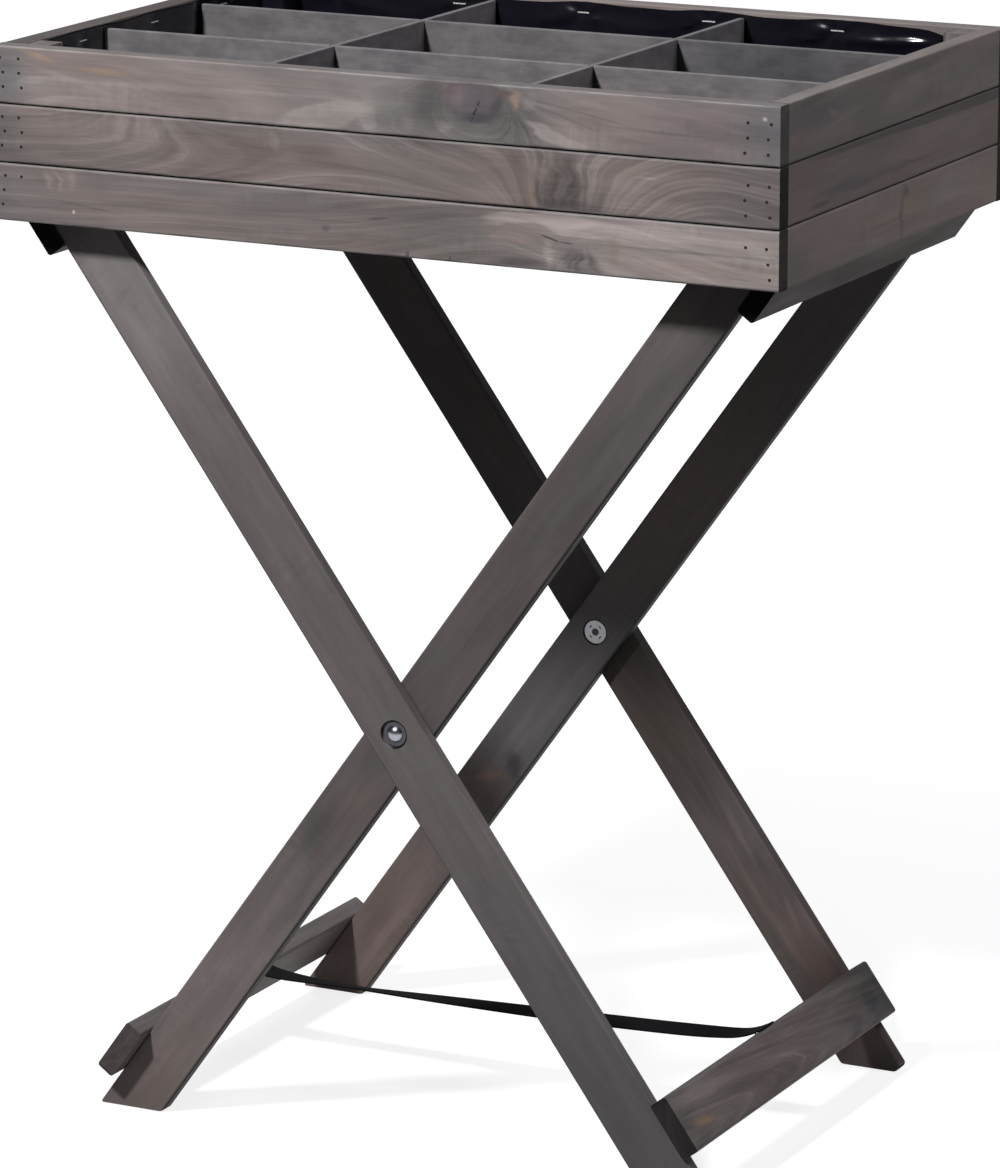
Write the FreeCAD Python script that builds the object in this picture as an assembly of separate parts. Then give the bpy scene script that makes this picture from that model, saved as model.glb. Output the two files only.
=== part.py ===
"""Herb planter table: a divided, lined planter box that rests on a folding trestle stand.

Millimetres, +Z up, X along the front, -Y towards the front. The origin is on the floor, under the
middle of the box. The stand is shown open. Its outer frame's legs run from the top left to the
bottom right, and its inner frame's legs from the top right to the bottom left.
"""
import FreeCAD, Part
import math
import os

# Planter box
BOX_LENGTH = 650.0
BOX_DEPTH = 428.0
BOARD_HEIGHT = 44.0
BOARD_THICKNESS = 15.5
BOARD_GAP = 1.0
BOARD_EASE = 1.5
BOARD_ROWS = ("bottom", "middle", "top")
POST_WIDTH = 20.0
POST_DEPTH = 27.0
POST_BELOW_RIM = 1.5
FRONT_RIGHT_POST_BELOW_RIM = 9.0
BEARER_WIDTH = 28.0
BEARER_HEIGHT = 15.5
SLAT_COUNT = 7
SLAT_WIDTH = 44.0
SLAT_THICKNESS = 12.5
SLAT_PLAY = 0.5

# Nails of the box
NAIL_RADIUS = 0.8
NAIL_HEAD_RADIUS = 1.2
NAIL_HEAD_THICKNESS = 1.0
NAIL_PLAY = 0.05
NAIL_PITCH = BOARD_HEIGHT / 4
LEFT_NAIL_RAISE = 1.5
LEFT_NAIL_FROM_END = 7.0
LEFT_NAIL_INTO_POST = 7.0
RIGHT_NAIL_RAISE = -2.5
RIGHT_NAIL_FROM_END = 8.5
RIGHT_NAIL_INTO_POST = 10.5
NAIL_STAGGER = 1.5
NAIL_TIP_COVER = 4.0

# Liner and its staples
LINER_THICKNESS = 0.5
LINER_PLAY = 0.1
LINER_BELOW_RIM = 4.0
LINER_DIP = 4.0
STAPLE_PITCH = 110.0
STAPLE_SHIFT = -30.0
STAPLE_END_MIN = 50.0
STAPLE_BELOW_EDGE = 6.0
STAPLE_CROWN = 11.0
STAPLE_WIRE = 0.9
STAPLE_LEG = 8.0

# Divider grid
DIVIDER_THICKNESS = 5.0
DIVIDER_BELOW_RIM = 5.0
DIVIDER_PITCH_X = 218.0
DIVIDER_PITCH_Y = 148.0
DIVIDER_END_PLAY = 2.0
DIVIDER_SLOT_PLAY = 0.15
DIVIDER_EASE = 0.8

# Folding stand
STAND_HEIGHT = 710.0
STAND_INSET = 26.25
PIVOT_HEIGHT = 337.5
LEG_TOP_INSET = 57.0
LEG_WIDTH = 46.0
LEG_THICKNESS = 12.5
LEG_EASE = 2.0
HEEL_ROUND = 7.0
OUTER_TOE_ROUND = 5.5
INNER_TOE_ROUND = 1.5
RAIL_THICKNESS = 15.5
RAIL_OVERHANG = 2.0
RAIL_EASE = 2.5
TOP_RAIL_WIDTH = 37.0
STRETCHER_WIDTH = 47.5
OUTER_STRETCHER_RISE = 29.5
INNER_STRETCHER_RISE = 18.0
DOWEL_RADIUS = 3.0
DOWEL_IN_LEG = 14.0
DOWEL_IN_RAIL = 9.0
DOWEL_EDGE = 11.0
DOWEL_PLAY = 0.05
DOWEL_END_ROOM = 1.0

# Pivot hardware
BOLT_RADIUS = 3.0
BOLT_RUNNING_PLAY = 0.08
BOLT_THREAD_PLAY = 0.03
BOLT_HEAD_RADIUS = 6.6
BOLT_HEAD_HEIGHT = 3.6
BOLT_END_SETBACK = 0.6
HEAD_WASHER_RADIUS = 9.5
HEAD_WASHER_THICKNESS = 1.2
COUNTERBORE_PLAY = 1.8
COUNTERBORE_DEPTH = 3.0
SPACER_RADIUS = 9.0
SPACER_THICKNESS = 1.2
TEE_FLANGE_RADIUS = 9.5
TEE_FLANGE_THICKNESS = 1.2
TEE_RECESS_DEPTH = 2.0
TEE_RECESS_PLAY = 1.3
TEE_BARREL_RADIUS = 3.9
TEE_BARREL_LENGTH = 8.0
TEE_BARREL_PLAY = 0.05
TEE_PRONG_COUNT = 4
TEE_PRONG_CIRCLE = 6.9
TEE_PRONG_WIDTH = 2.6
TEE_PRONG_THICKNESS = 1.0
TEE_PRONG_LENGTH = 5.0

# Strap between the stretchers. Its drops are (share of the span, depth below the straight line)
STRAP_WIDTH = 25.0
STRAP_THICKNESS = 1.6
STRAP_DROPS = ((0.05, 4.0), (0.165, 5.8), (0.37, 6.0), (0.60, 5.8), (0.80, 4.7), (0.93, 3.0))
STRAP_END_INSET = 1.0
STRAP_END_REST = 0.2
STRAP_CORNER_REST = 0.7
STRAP_TURN_SHARE = 0.45
STRAP_STAPLE_OFFSET = 6.25
STRAP_STAPLE_CROWN = 9.0
STRAP_STAPLE_LEG = 9.0

# Worked-out sizes
BOX_HEIGHT = len(BOARD_ROWS) * (BOARD_HEIGHT + BOARD_GAP) - BOARD_GAP
RIM = STAND_HEIGHT + BOX_HEIGHT
INSIDE_X = BOX_LENGTH / 2 - BOARD_THICKNESS
INSIDE_Y = BOX_DEPTH / 2 - BOARD_THICKNESS
FLOOR_TOP = STAND_HEIGHT + BEARER_HEIGHT + SLAT_THICKNESS
SLAT_STEP = (2 * (INSIDE_Y - SLAT_PLAY) - SLAT_WIDTH) / (SLAT_COUNT - 1)
OUTER_FACE_Y = BOX_DEPTH / 2 - STAND_INSET
INNER_FACE_Y = OUTER_FACE_Y - LEG_THICKNESS - SPACER_THICKNESS
LEG_RISE = STAND_HEIGHT - PIVOT_HEIGHT
LEG_ANGLE = math.atan2(LEG_RISE, BOX_LENGTH / 2 - LEG_TOP_INSET)
ALONG_X = math.cos(LEG_ANGLE)
ALONG_Z = math.sin(LEG_ANGLE)

X = FreeCAD.Vector(1, 0, 0)
Y = FreeCAD.Vector(0, 1, 0)
Z = FreeCAD.Vector(0, 0, 1)


def save(name, shape):
    shape.exportStep(f"parts/{name}.step")


def block(low, high):
    """Box between two corners."""
    size = [b - a for a, b in zip(low, high)]
    return Part.makeBox(*size, FreeCAD.Vector(*low))


def prism(outline, y_low, y_high):
    """Outline of (x, z) points, extruded along Y."""
    corners = [FreeCAD.Vector(x, y_low, z) for x, z in outline]
    face = Part.Face(Part.makePolygon(corners + corners[:1]))
    return face.extrude(Y * (y_high - y_low))


def rod(start, direction, radius, length):
    return Part.makeCylinder(radius, length, start, direction)


def eased(solid, direction, radius, wall):
    """Rounds the edges that run along a direction, within the wall's thickness."""
    edges = [e for e in solid.Edges if abs(e.tangentAt(e.FirstParameter).dot(direction)) > 0.999]
    return solid.makeFillet(min(radius, 0.4 * wall), edges)


def staple_places(half, shift):
    """Staples along a wall that runs half either way: one pitch apart, about a shifted middle."""
    count = int(2 * (half - abs(shift) - STAPLE_END_MIN) / STAPLE_PITCH) + 1
    return [shift + (k - (count - 1) / 2) * STAPLE_PITCH for k in range(count)]


def nail(point, direction, length, play=0.0):
    """Nail driven from a face, its head flush with it. With play it is the nail's hole."""
    shank = rod(point, direction, NAIL_RADIUS + play, length + play)
    head = rod(point, direction, NAIL_HEAD_RADIUS + play, NAIL_HEAD_THICKNESS)
    return shank.fuse(head).removeSplitter()


def staple(point, across, into, crown, leg):
    """Staple with its crown's middle on a face, its crown along across and its legs along into."""
    side = into.cross(across)
    half = STAPLE_WIRE / 2
    frame = FreeCAD.Placement(point, FreeCAD.Rotation(across, side, into, "XYZ"))
    body = block((-crown / 2, -half, -STAPLE_WIRE), (crown / 2, half, 0))
    for low in (-crown / 2, crown / 2 - STAPLE_WIRE):
        body = body.fuse(block((low, -half, -half), (low + STAPLE_WIRE, half, leg)))
    body = body.removeSplitter()
    body.Placement = frame
    return body


# Planter box


def row_bottom(row):
    return STAND_HEIGHT + row * (BOARD_HEIGHT + BOARD_GAP)


def corner_nails(side, end):
    """Nails at one corner: side is -1 at the front and 1 at the back, end is -1 at the left."""
    length = BOARD_THICKNESS + POST_DEPTH - NAIL_TIP_COVER
    if end < 0:
        from_end, into_post, raised = LEFT_NAIL_FROM_END, LEFT_NAIL_INTO_POST, LEFT_NAIL_RAISE
    else:
        from_end, into_post, raised = RIGHT_NAIL_FROM_END, RIGHT_NAIL_INTO_POST, RIGHT_NAIL_RAISE
    nails = []
    holes = []
    for row in range(len(BOARD_ROWS)):
        for column, inset in enumerate((from_end, BOARD_THICKNESS + into_post)):
            lowest = (STAND_HEIGHT, FLOOR_TOP)[column] + NAIL_HEAD_RADIUS
            for k in (-1, 0, 1):
                z = row_bottom(row) + BOARD_HEIGHT / 2 + raised + k * NAIL_PITCH
                if z < lowest:
                    continue
                stagger = NAIL_STAGGER * math.sin(2.1 * k + 1.3 * row + column)
                x = end * (BOX_LENGTH / 2 - inset - stagger)
                start = FreeCAD.Vector(x, side * BOX_DEPTH / 2, z)
                nails.append(nail(start, Y * -side, length))
                holes.append(nail(start, Y * -side, length, NAIL_PLAY))
    return nails, holes


def liner_staples():
    """Staples in the four walls, each on the liner's inner face."""
    z = RIM - LINER_BELOW_RIM - STAPLE_BELOW_EDGE
    face = LINER_PLAY + LINER_THICKNESS
    found = []
    for x in staple_places(INSIDE_X, STAPLE_SHIFT):
        for side in (-1, 1):
            point = FreeCAD.Vector(x, side * (INSIDE_Y - face), z)
            found.append(staple(point, X, Y * side, STAPLE_CROWN, STAPLE_LEG))
    for y in staple_places(INSIDE_Y, 0.0):
        for side in (-1, 1):
            point = FreeCAD.Vector(side * (INSIDE_X - face), y, z)
            found.append(staple(point, Y, X * side, STAPLE_CROWN, STAPLE_LEG))
    return found


def hollow(inset):
    """Inside of the box less its corner posts, drawn in by inset on every wall."""
    half_x = INSIDE_X - inset
    half_y = INSIDE_Y - inset
    body = block((-half_x, -half_y, FLOOR_TOP), (half_x, half_y, RIM))
    corner_x = INSIDE_X - POST_WIDTH - inset
    corner_y = INSIDE_Y - POST_DEPTH - inset
    for end in (-1, 1):
        for side in (-1, 1):
            xs = sorted((end * corner_x, end * INSIDE_X))
            ys = sorted((side * corner_y, side * INSIDE_Y))
            body = body.cut(block((xs[0], ys[0], FLOOR_TOP), (xs[1], ys[1], RIM)))
    return body


def above_edge(half, shift, swap):
    """Space above the liner's wavy edge, which hangs in an arc from staple to staple."""
    top = RIM - LINER_BELOW_RIM
    peaks = [-half] + staple_places(half, shift) + [half]

    def place(along, z):
        return FreeCAD.Vector(-BOX_LENGTH, along, z) if swap else FreeCAD.Vector(along, -BOX_LENGTH, z)

    edges = []
    for a, b in zip(peaks, peaks[1:]):
        arc = Part.Arc(place(a, top), place((a + b) / 2, top - LINER_DIP), place(b, top))
        edges.append(arc.toShape())
    high = RIM + BOARD_HEIGHT
    roof = (place(half, top), place(half, high), place(-half, high), place(-half, top))
    for a, b in zip(roof, roof[1:]):
        edges.append(Part.LineSegment(a, b).toShape())
    face = Part.Face(Part.Wire(edges))
    return face.extrude((X if swap else Y) * 2 * BOX_LENGTH)


def liner(staples):
    outside = hollow(LINER_PLAY)
    inside = hollow(LINER_PLAY + LINER_THICKNESS)
    inside.translate(Z * LINER_THICKNESS)
    shell = outside.cut(inside)
    shell = shell.cut(above_edge(INSIDE_X, STAPLE_SHIFT, False))
    shell = shell.cut(above_edge(INSIDE_Y, 0.0, True))
    return shell.cut(staples)


def make_walls(holes, staples):
    for side, wall in ((-1, "front"), (1, "back")):
        ys = sorted((side * BOX_DEPTH / 2, side * INSIDE_Y))
        for row, name in enumerate(BOARD_ROWS):
            z = row_bottom(row)
            board = block((-BOX_LENGTH / 2, ys[0], z), (BOX_LENGTH / 2, ys[1], z + BOARD_HEIGHT))
            board = eased(board, X, BOARD_EASE, BOARD_THICKNESS)
            save(f"{wall}_board_{name}", board.cut(holes).cut(staples))
    for end, wall in ((-1, "left"), (1, "right")):
        xs = sorted((end * BOX_LENGTH / 2, end * INSIDE_X))
        for row, name in enumerate(BOARD_ROWS):
            z = row_bottom(row)
            board = block((xs[0], -INSIDE_Y, z), (xs[1], INSIDE_Y, z + BOARD_HEIGHT))
            board = eased(board, Y, BOARD_EASE, BOARD_THICKNESS)
            save(f"{wall}_board_{name}", board.cut(holes).cut(staples))


def make_posts(holes):
    for side, depth in ((-1, "front"), (1, "back")):
        for end, hand in ((-1, "left"), (1, "right")):
            xs = sorted((end * INSIDE_X, end * (INSIDE_X - POST_WIDTH)))
            ys = sorted((side * INSIDE_Y, side * (INSIDE_Y - POST_DEPTH)))
            low = (side, end) == (-1, 1)
            top = RIM - (FRONT_RIGHT_POST_BELOW_RIM if low else POST_BELOW_RIM)
            post = block((xs[0], ys[0], FLOOR_TOP), (xs[1], ys[1], top))
            save(f"corner_post_{depth}_{hand}", post.cut(holes))


def slat_middle(k):
    return -INSIDE_Y + SLAT_PLAY + SLAT_WIDTH / 2 + k * SLAT_STEP


def floor_fixings(play):
    """Nails through the slats into the bearers, then nails through the bearers into the side boards."""
    bearer_top = STAND_HEIGHT + BEARER_HEIGHT
    down = SLAT_THICKNESS + BEARER_HEIGHT - NAIL_TIP_COVER
    outward = BEARER_WIDTH + BOARD_THICKNESS - NAIL_TIP_COVER
    slat_nails = []
    bearer_nails = []
    for end in (-1, 1):
        x = end * (INSIDE_X - BEARER_WIDTH / 2)
        for k in range(SLAT_COUNT):
            for offset in (-SLAT_WIDTH / 4, SLAT_WIDTH / 4):
                start = FreeCAD.Vector(x, slat_middle(k) + offset, bearer_top + SLAT_THICKNESS)
                slat_nails.append(nail(start, -Z, down, play))
        for k in range(SLAT_COUNT - 1):
            y = slat_middle(k) + SLAT_STEP / 2
            start = FreeCAD.Vector(end * (INSIDE_X - BEARER_WIDTH), y, bearer_top - BEARER_HEIGHT / 2)
            bearer_nails.append(nail(start, X * end, outward, play))
    return slat_nails, bearer_nails


def make_floor(holes):
    for end, hand in ((-1, "left"), (1, "right")):
        xs = sorted((end * INSIDE_X, end * (INSIDE_X - BEARER_WIDTH)))
        low = (xs[0], -INSIDE_Y, STAND_HEIGHT)
        bearer = block(low, (xs[1], INSIDE_Y, STAND_HEIGHT + BEARER_HEIGHT))
        save(f"floor_bearer_{hand}", bearer.cut(holes))
    reach = INSIDE_X - SLAT_PLAY
    for k in range(SLAT_COUNT):
        y = slat_middle(k)
        low = (-reach, y - SLAT_WIDTH / 2, STAND_HEIGHT + BEARER_HEIGHT)
        slat = block(low, (reach, y + SLAT_WIDTH / 2, FLOOR_TOP))
        slat = eased(slat, X, BOARD_EASE, SLAT_THICKNESS)
        save(f"floor_slat_{k + 1}", slat.cut(holes))


def make_box():
    nails = []
    holes = []
    for side, depth in ((-1, "front"), (1, "back")):
        for end, hand in ((-1, "left"), (1, "right")):
            found, drilled = corner_nails(side, end)
            save(f"corner_nails_{depth}_{hand}", Part.makeCompound(found))
            nails += found
            holes += drilled
    slat_nails, bearer_nails = floor_fixings(0.0)
    save("floor_nails", Part.makeCompound(slat_nails))
    save("bearer_nails", Part.makeCompound(bearer_nails))
    slat_holes, bearer_holes = floor_fixings(NAIL_PLAY)
    staples = liner_staples()
    save("liner_staples", Part.makeCompound(staples))
    save("liner", liner(staples))
    make_walls(holes + bearer_holes, staples)
    make_posts(holes)
    make_floor(slat_holes + bearer_holes)


# Divider grid


def make_dividers():
    low = FLOOR_TOP + LINER_THICKNESS
    high = RIM - DIVIDER_BELOW_RIM
    middle = (low + high) / 2
    half = DIVIDER_THICKNESS / 2
    slot = half + DIVIDER_SLOT_PLAY
    lined = LINER_PLAY + LINER_THICKNESS + STAPLE_WIRE + DIVIDER_END_PLAY
    reach_x = INSIDE_X - lined
    reach_y = INSIDE_Y - lined
    for side, name in ((-1, "front"), (1, "back")):
        y = side * DIVIDER_PITCH_Y / 2
        board = block((-reach_x, y - half, low), (reach_x, y + half, high))
        board = eased(board, X, DIVIDER_EASE, DIVIDER_THICKNESS)
        for end in (-1, 1):
            x = end * DIVIDER_PITCH_X / 2
            board = board.cut(block((x - slot, y - half, middle), (x + slot, y + half, high)))
        save(f"cross_divider_{name}", board)
    for end, name in ((-1, "left"), (1, "right")):
        x = end * DIVIDER_PITCH_X / 2
        board = block((x - half, -reach_y, low), (x + half, reach_y, high))
        board = eased(board, Y, DIVIDER_EASE, DIVIDER_THICKNESS)
        for side in (-1, 1):
            y = side * DIVIDER_PITCH_Y / 2
            board = board.cut(block((x - half, y - slot, low), (x + half, y + slot, middle)))
        save(f"depth_divider_{name}", board)


# Folding stand


def on_leg(lean, down, up):
    """Point (x, z) on a leg: down along it from the pivot, up square to it. lean is 1 on the outer frame."""
    return (lean * (ALONG_X * down + ALONG_Z * up), PIVOT_HEIGHT - ALONG_Z * down + ALONG_X * up)


def leg_vector(lean, down, up, y):
    x, z = on_leg(lean, down, up)
    return FreeCAD.Vector(x, y, z)


def down_at_height(z, up):
    """Distance down a leg at which a line that lies up from its middle reaches height z."""
    return (PIVOT_HEIGHT + ALONG_X * up - z) / ALONG_Z


def leg_direction(lean):
    return FreeCAD.Vector(lean * ALONG_X, 0, -ALONG_Z)


def square_direction(lean):
    return FreeCAD.Vector(lean * ALONG_Z, 0, ALONG_X)


def foot_waste(lean, up, radius, y_low, y_high):
    """Waste outside a round at one corner of a foot: its heel where up is below 0, its toe above."""
    slope = math.tan(LEG_ANGLE / 2)
    reach = radius * slope if up < 0 else radius / slope
    down = down_at_height(0, up)
    tip = leg_vector(lean, down, up, y_low)
    along_floor = tip - X * lean * math.copysign(reach, up)
    along_leg = leg_vector(lean, down - reach, up, y_low)
    corner = prism([(p.x, p.z) for p in (tip, along_floor, along_leg)], y_low, y_high)
    centre = FreeCAD.Vector(along_floor.x, y_low, radius)
    return corner.cut(rod(centre, Y, radius, y_high - y_low))


def leg_blank(lean, y_low, y_high):
    """Leg cut level at the floor and under the box, with eased edges and a rounded foot."""
    half = LEG_WIDTH / 2
    outline = [on_leg(lean, down_at_height(z, up), up) for z, up in (
        (0, -half), (0, half), (STAND_HEIGHT, half), (STAND_HEIGHT, -half))]
    leg = eased(prism(outline, y_low, y_high), leg_direction(lean), LEG_EASE, LEG_THICKNESS)
    toe_round = OUTER_TOE_ROUND if lean > 0 else INNER_TOE_ROUND
    heel = foot_waste(lean, -half, HEEL_ROUND, y_low, y_high)
    return leg.cut([heel, foot_waste(lean, half, toe_round, y_low, y_high)])


def rail_blank(lean, corners):
    """Rail or stretcher across the stand, from four (down, up) corners."""
    outline = [on_leg(lean, down, up) for down, up in corners]
    reach = OUTER_FACE_Y + RAIL_OVERHANG
    return eased(prism(outline, -reach, reach), Y, RAIL_EASE, RAIL_THICKNESS)


def top_rail_corners():
    near = -LEG_WIDTH / 2
    far = near - RAIL_THICKNESS
    low = down_at_height(STAND_HEIGHT, far) + TOP_RAIL_WIDTH
    return ((low, near), (low, far), (down_at_height(STAND_HEIGHT, far), far),
            (down_at_height(STAND_HEIGHT, near), near))


def stretcher_corners(rise):
    near = LEG_WIDTH / 2
    far = near + RAIL_THICKNESS
    low = down_at_height(0, 0) - rise
    high = low - STRETCHER_WIDTH
    return ((low, near), (low, far), (high, far), (high, near))


def frame_dowels(lean, leg_y, rise, play=0.0):
    """Dowels across the joints of one frame: one at each end of its top rail, two of its stretcher."""
    edge = LEG_WIDTH / 2
    room = DOWEL_END_ROOM if play else 0.0
    rail_low = top_rail_corners()[0][0]
    rail_high = down_at_height(STAND_HEIGHT, DOWEL_IN_LEG - edge)
    stretcher_low = down_at_height(0, 0) - rise
    places = [((rail_low + rail_high) / 2, -1)]
    places.append((stretcher_low - DOWEL_EDGE, 1))
    places.append((stretcher_low - STRETCHER_WIDTH + DOWEL_EDGE, 1))
    found = []
    for y in (-leg_y, leg_y):
        for down, face in places:
            start = leg_vector(lean, down, face * (edge - DOWEL_IN_LEG - room), y)
            length = DOWEL_IN_LEG + DOWEL_IN_RAIL + 2 * room
            found.append(rod(start, square_direction(lean) * face, DOWEL_RADIUS + play, length))
    return found


def pivot_point(y):
    return FreeCAD.Vector(0, y, PIVOT_HEIGHT)


def outer_pivot_hole(side):
    """Hole in an outer leg with the counterbore for the washer. side is -1 at the front."""
    inward = Y * -side
    start = pivot_point(side * OUTER_FACE_Y)
    counterbore = rod(start, inward, HEAD_WASHER_RADIUS + COUNTERBORE_PLAY, COUNTERBORE_DEPTH)
    return counterbore.fuse(rod(start, inward, BOLT_RADIUS + BOLT_RUNNING_PLAY, LEG_THICKNESS))


def tee_nut(side, play=0.0):
    """Tee nut in an inner leg: flange with prong windows, threaded barrel and prongs. With play, its hole."""
    outward = Y * side
    seat = side * (INNER_FACE_Y - LEG_THICKNESS + TEE_RECESS_DEPTH)
    start = pivot_point(seat)
    barrel = rod(start, outward, TEE_BARREL_RADIUS + play, TEE_BARREL_LENGTH + play)
    half = TEE_PRONG_WIDTH / 2 + play
    prongs = []
    for k in range(TEE_PRONG_COUNT):
        inner = TEE_PRONG_CIRCLE - TEE_PRONG_THICKNESS / 2 - play
        outer = TEE_PRONG_CIRCLE + TEE_PRONG_THICKNESS / 2 + play
        ys = sorted((seat, seat + side * (TEE_PRONG_LENGTH + play)))
        prong = block((inner, ys[0], PIVOT_HEIGHT - half), (outer, ys[1], PIVOT_HEIGHT + half))
        prong.rotate(pivot_point(0), Y, 360 * (k + 0.5) / TEE_PRONG_COUNT)
        prongs.append(prong)
    if play:
        recess = rod(start, -outward, TEE_FLANGE_RADIUS + TEE_RECESS_PLAY, TEE_RECESS_DEPTH)
        shaft = rod(start, outward, BOLT_RADIUS + BOLT_RUNNING_PLAY, LEG_THICKNESS)
        return barrel.fuse([recess, shaft] + prongs)
    flange = rod(start, -outward, TEE_FLANGE_RADIUS, TEE_FLANGE_THICKNESS)
    window_low = TEE_PRONG_CIRCLE - 1.5 * TEE_PRONG_THICKNESS
    for k in range(TEE_PRONG_COUNT):
        ys = sorted((seat, seat - side * TEE_FLANGE_THICKNESS))
        low = (window_low, ys[0], PIVOT_HEIGHT - half)
        window = block(low, (TEE_PRONG_CIRCLE - TEE_PRONG_THICKNESS / 2, ys[1], PIVOT_HEIGHT + half))
        window.rotate(pivot_point(0), Y, 360 * (k + 0.5) / TEE_PRONG_COUNT)
        flange = flange.cut(window)
    nut = flange.fuse([barrel] + prongs).removeSplitter()
    thread = rod(start - outward * TEE_FLANGE_THICKNESS, outward, BOLT_RADIUS + BOLT_THREAD_PLAY,
                 TEE_FLANGE_THICKNESS + TEE_BARREL_LENGTH)
    return nut.cut(thread)


def washer(y_face, outward, radius, thickness):
    disc = rod(pivot_point(y_face), outward, radius, thickness)
    return disc.cut(rod(pivot_point(y_face), outward, BOLT_RADIUS + BOLT_RUNNING_PLAY, thickness))


def bolt(side):
    """Domed bolt, turned from a profile: a round cap on the washer, and a shank that ends in the tee nut."""
    seat = OUTER_FACE_Y - COUNTERBORE_DEPTH + HEAD_WASHER_THICKNESS
    flange_face = INNER_FACE_Y - LEG_THICKNESS + TEE_RECESS_DEPTH - TEE_FLANGE_THICKNESS
    tip = flange_face + BOLT_END_SETBACK
    dome_radius = (BOLT_HEAD_RADIUS ** 2 + BOLT_HEAD_HEIGHT ** 2) / (2 * BOLT_HEAD_HEIGHT)
    half_turn = math.asin(BOLT_HEAD_RADIUS / dome_radius) / 2
    crown = seat + BOLT_HEAD_HEIGHT

    def place(radius, depth):
        return FreeCAD.Vector(radius, side * depth, PIVOT_HEIGHT)

    middle = place(dome_radius * math.sin(half_turn), crown - dome_radius * (1 - math.cos(half_turn)))
    rim = place(BOLT_HEAD_RADIUS, seat)
    edges = [Part.Arc(place(0, crown), middle, rim).toShape()]
    outline = (rim, place(BOLT_RADIUS, seat), place(BOLT_RADIUS, tip), place(0, tip), place(0, crown))
    for a, b in zip(outline, outline[1:]):
        edges.append(Part.LineSegment(a, b).toShape())
    return Part.Face(Part.Wire(edges)).revolve(pivot_point(0), Y, 360)


def make_pivots():
    for side, name in ((-1, "front"), (1, "back")):
        outward = Y * side
        save(f"pivot_bolt_{name}", bolt(side))
        counterbore_floor = side * (OUTER_FACE_Y - COUNTERBORE_DEPTH)
        save(f"pivot_head_washer_{name}",
             washer(counterbore_floor, outward, HEAD_WASHER_RADIUS, HEAD_WASHER_THICKNESS))
        save(f"pivot_spacer_{name}",
             washer(side * INNER_FACE_Y, outward, SPACER_RADIUS, SPACER_THICKNESS))
        save(f"pivot_tee_nut_{name}", tee_nut(side))


def strap_staples(lean, rise, play=0.0):
    """Two staples that hold the strap on the upper narrow edge of a stretcher."""
    high = stretcher_corners(rise)[2][0]
    middle = LEG_WIDTH / 2 + RAIL_THICKNESS / 2
    lift = leg_direction(lean) * -(STRAP_THICKNESS + 2 * play)
    found = []
    for y in (-STRAP_STAPLE_OFFSET, STRAP_STAPLE_OFFSET):
        point = leg_vector(lean, high, middle, y) + lift
        leg = STRAP_STAPLE_LEG + STRAP_THICKNESS
        found.append(staple(point, Y, leg_direction(lean), STRAP_STAPLE_CROWN, leg))
    return found


def make_frame(name, lean, face_y, rise):
    """One of the stand's two frames. face_y is the outside face of its legs."""
    leg_y = face_y - LEG_THICKNESS / 2
    save(f"{name}_frame_dowels", Part.makeCompound(frame_dowels(lean, leg_y, rise)))
    holes = frame_dowels(lean, leg_y, rise, DOWEL_PLAY)
    for side, depth in ((-1, "front"), (1, "back")):
        ys = sorted((side * face_y, side * (face_y - LEG_THICKNESS)))
        pivot = outer_pivot_hole(side) if lean > 0 else tee_nut(side, TEE_BARREL_PLAY)
        save(f"{name}_leg_{depth}", leg_blank(lean, *ys).cut(holes + [pivot]))
    save(f"{name}_top_rail", rail_blank(lean, top_rail_corners()).cut(holes))
    staples = strap_staples(lean, rise)
    save(f"strap_staples_{name}", Part.makeCompound(staples))
    save(f"{name}_stretcher", rail_blank(lean, stretcher_corners(rise)).cut(holes + staples))
    return staples


def strap_route():
    """Strap's centre line as (x, z): along the upper edge of each stretcher, and sagging between them."""
    half = STRAP_THICKNESS / 2
    ends = []
    for lean, rise in ((-1, INNER_STRETCHER_RISE), (1, OUTER_STRETCHER_RISE)):
        high, far = stretcher_corners(rise)[2]
        tip = on_leg(lean, high - half - STRAP_END_REST, far - STRAP_END_INSET)
        corner = on_leg(lean, high - half - STRAP_CORNER_REST, far - RAIL_THICKNESS)
        ends.append((tip, corner))
    (start_tip, start), (end_tip, end) = ends
    hung = []
    for share, depth in STRAP_DROPS:
        x = start[0] + share * (end[0] - start[0])
        hung.append((x, start[1] + share * (end[1] - start[1]) - depth))
    return [start_tip, start] + hung + [end, end_tip]


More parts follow.
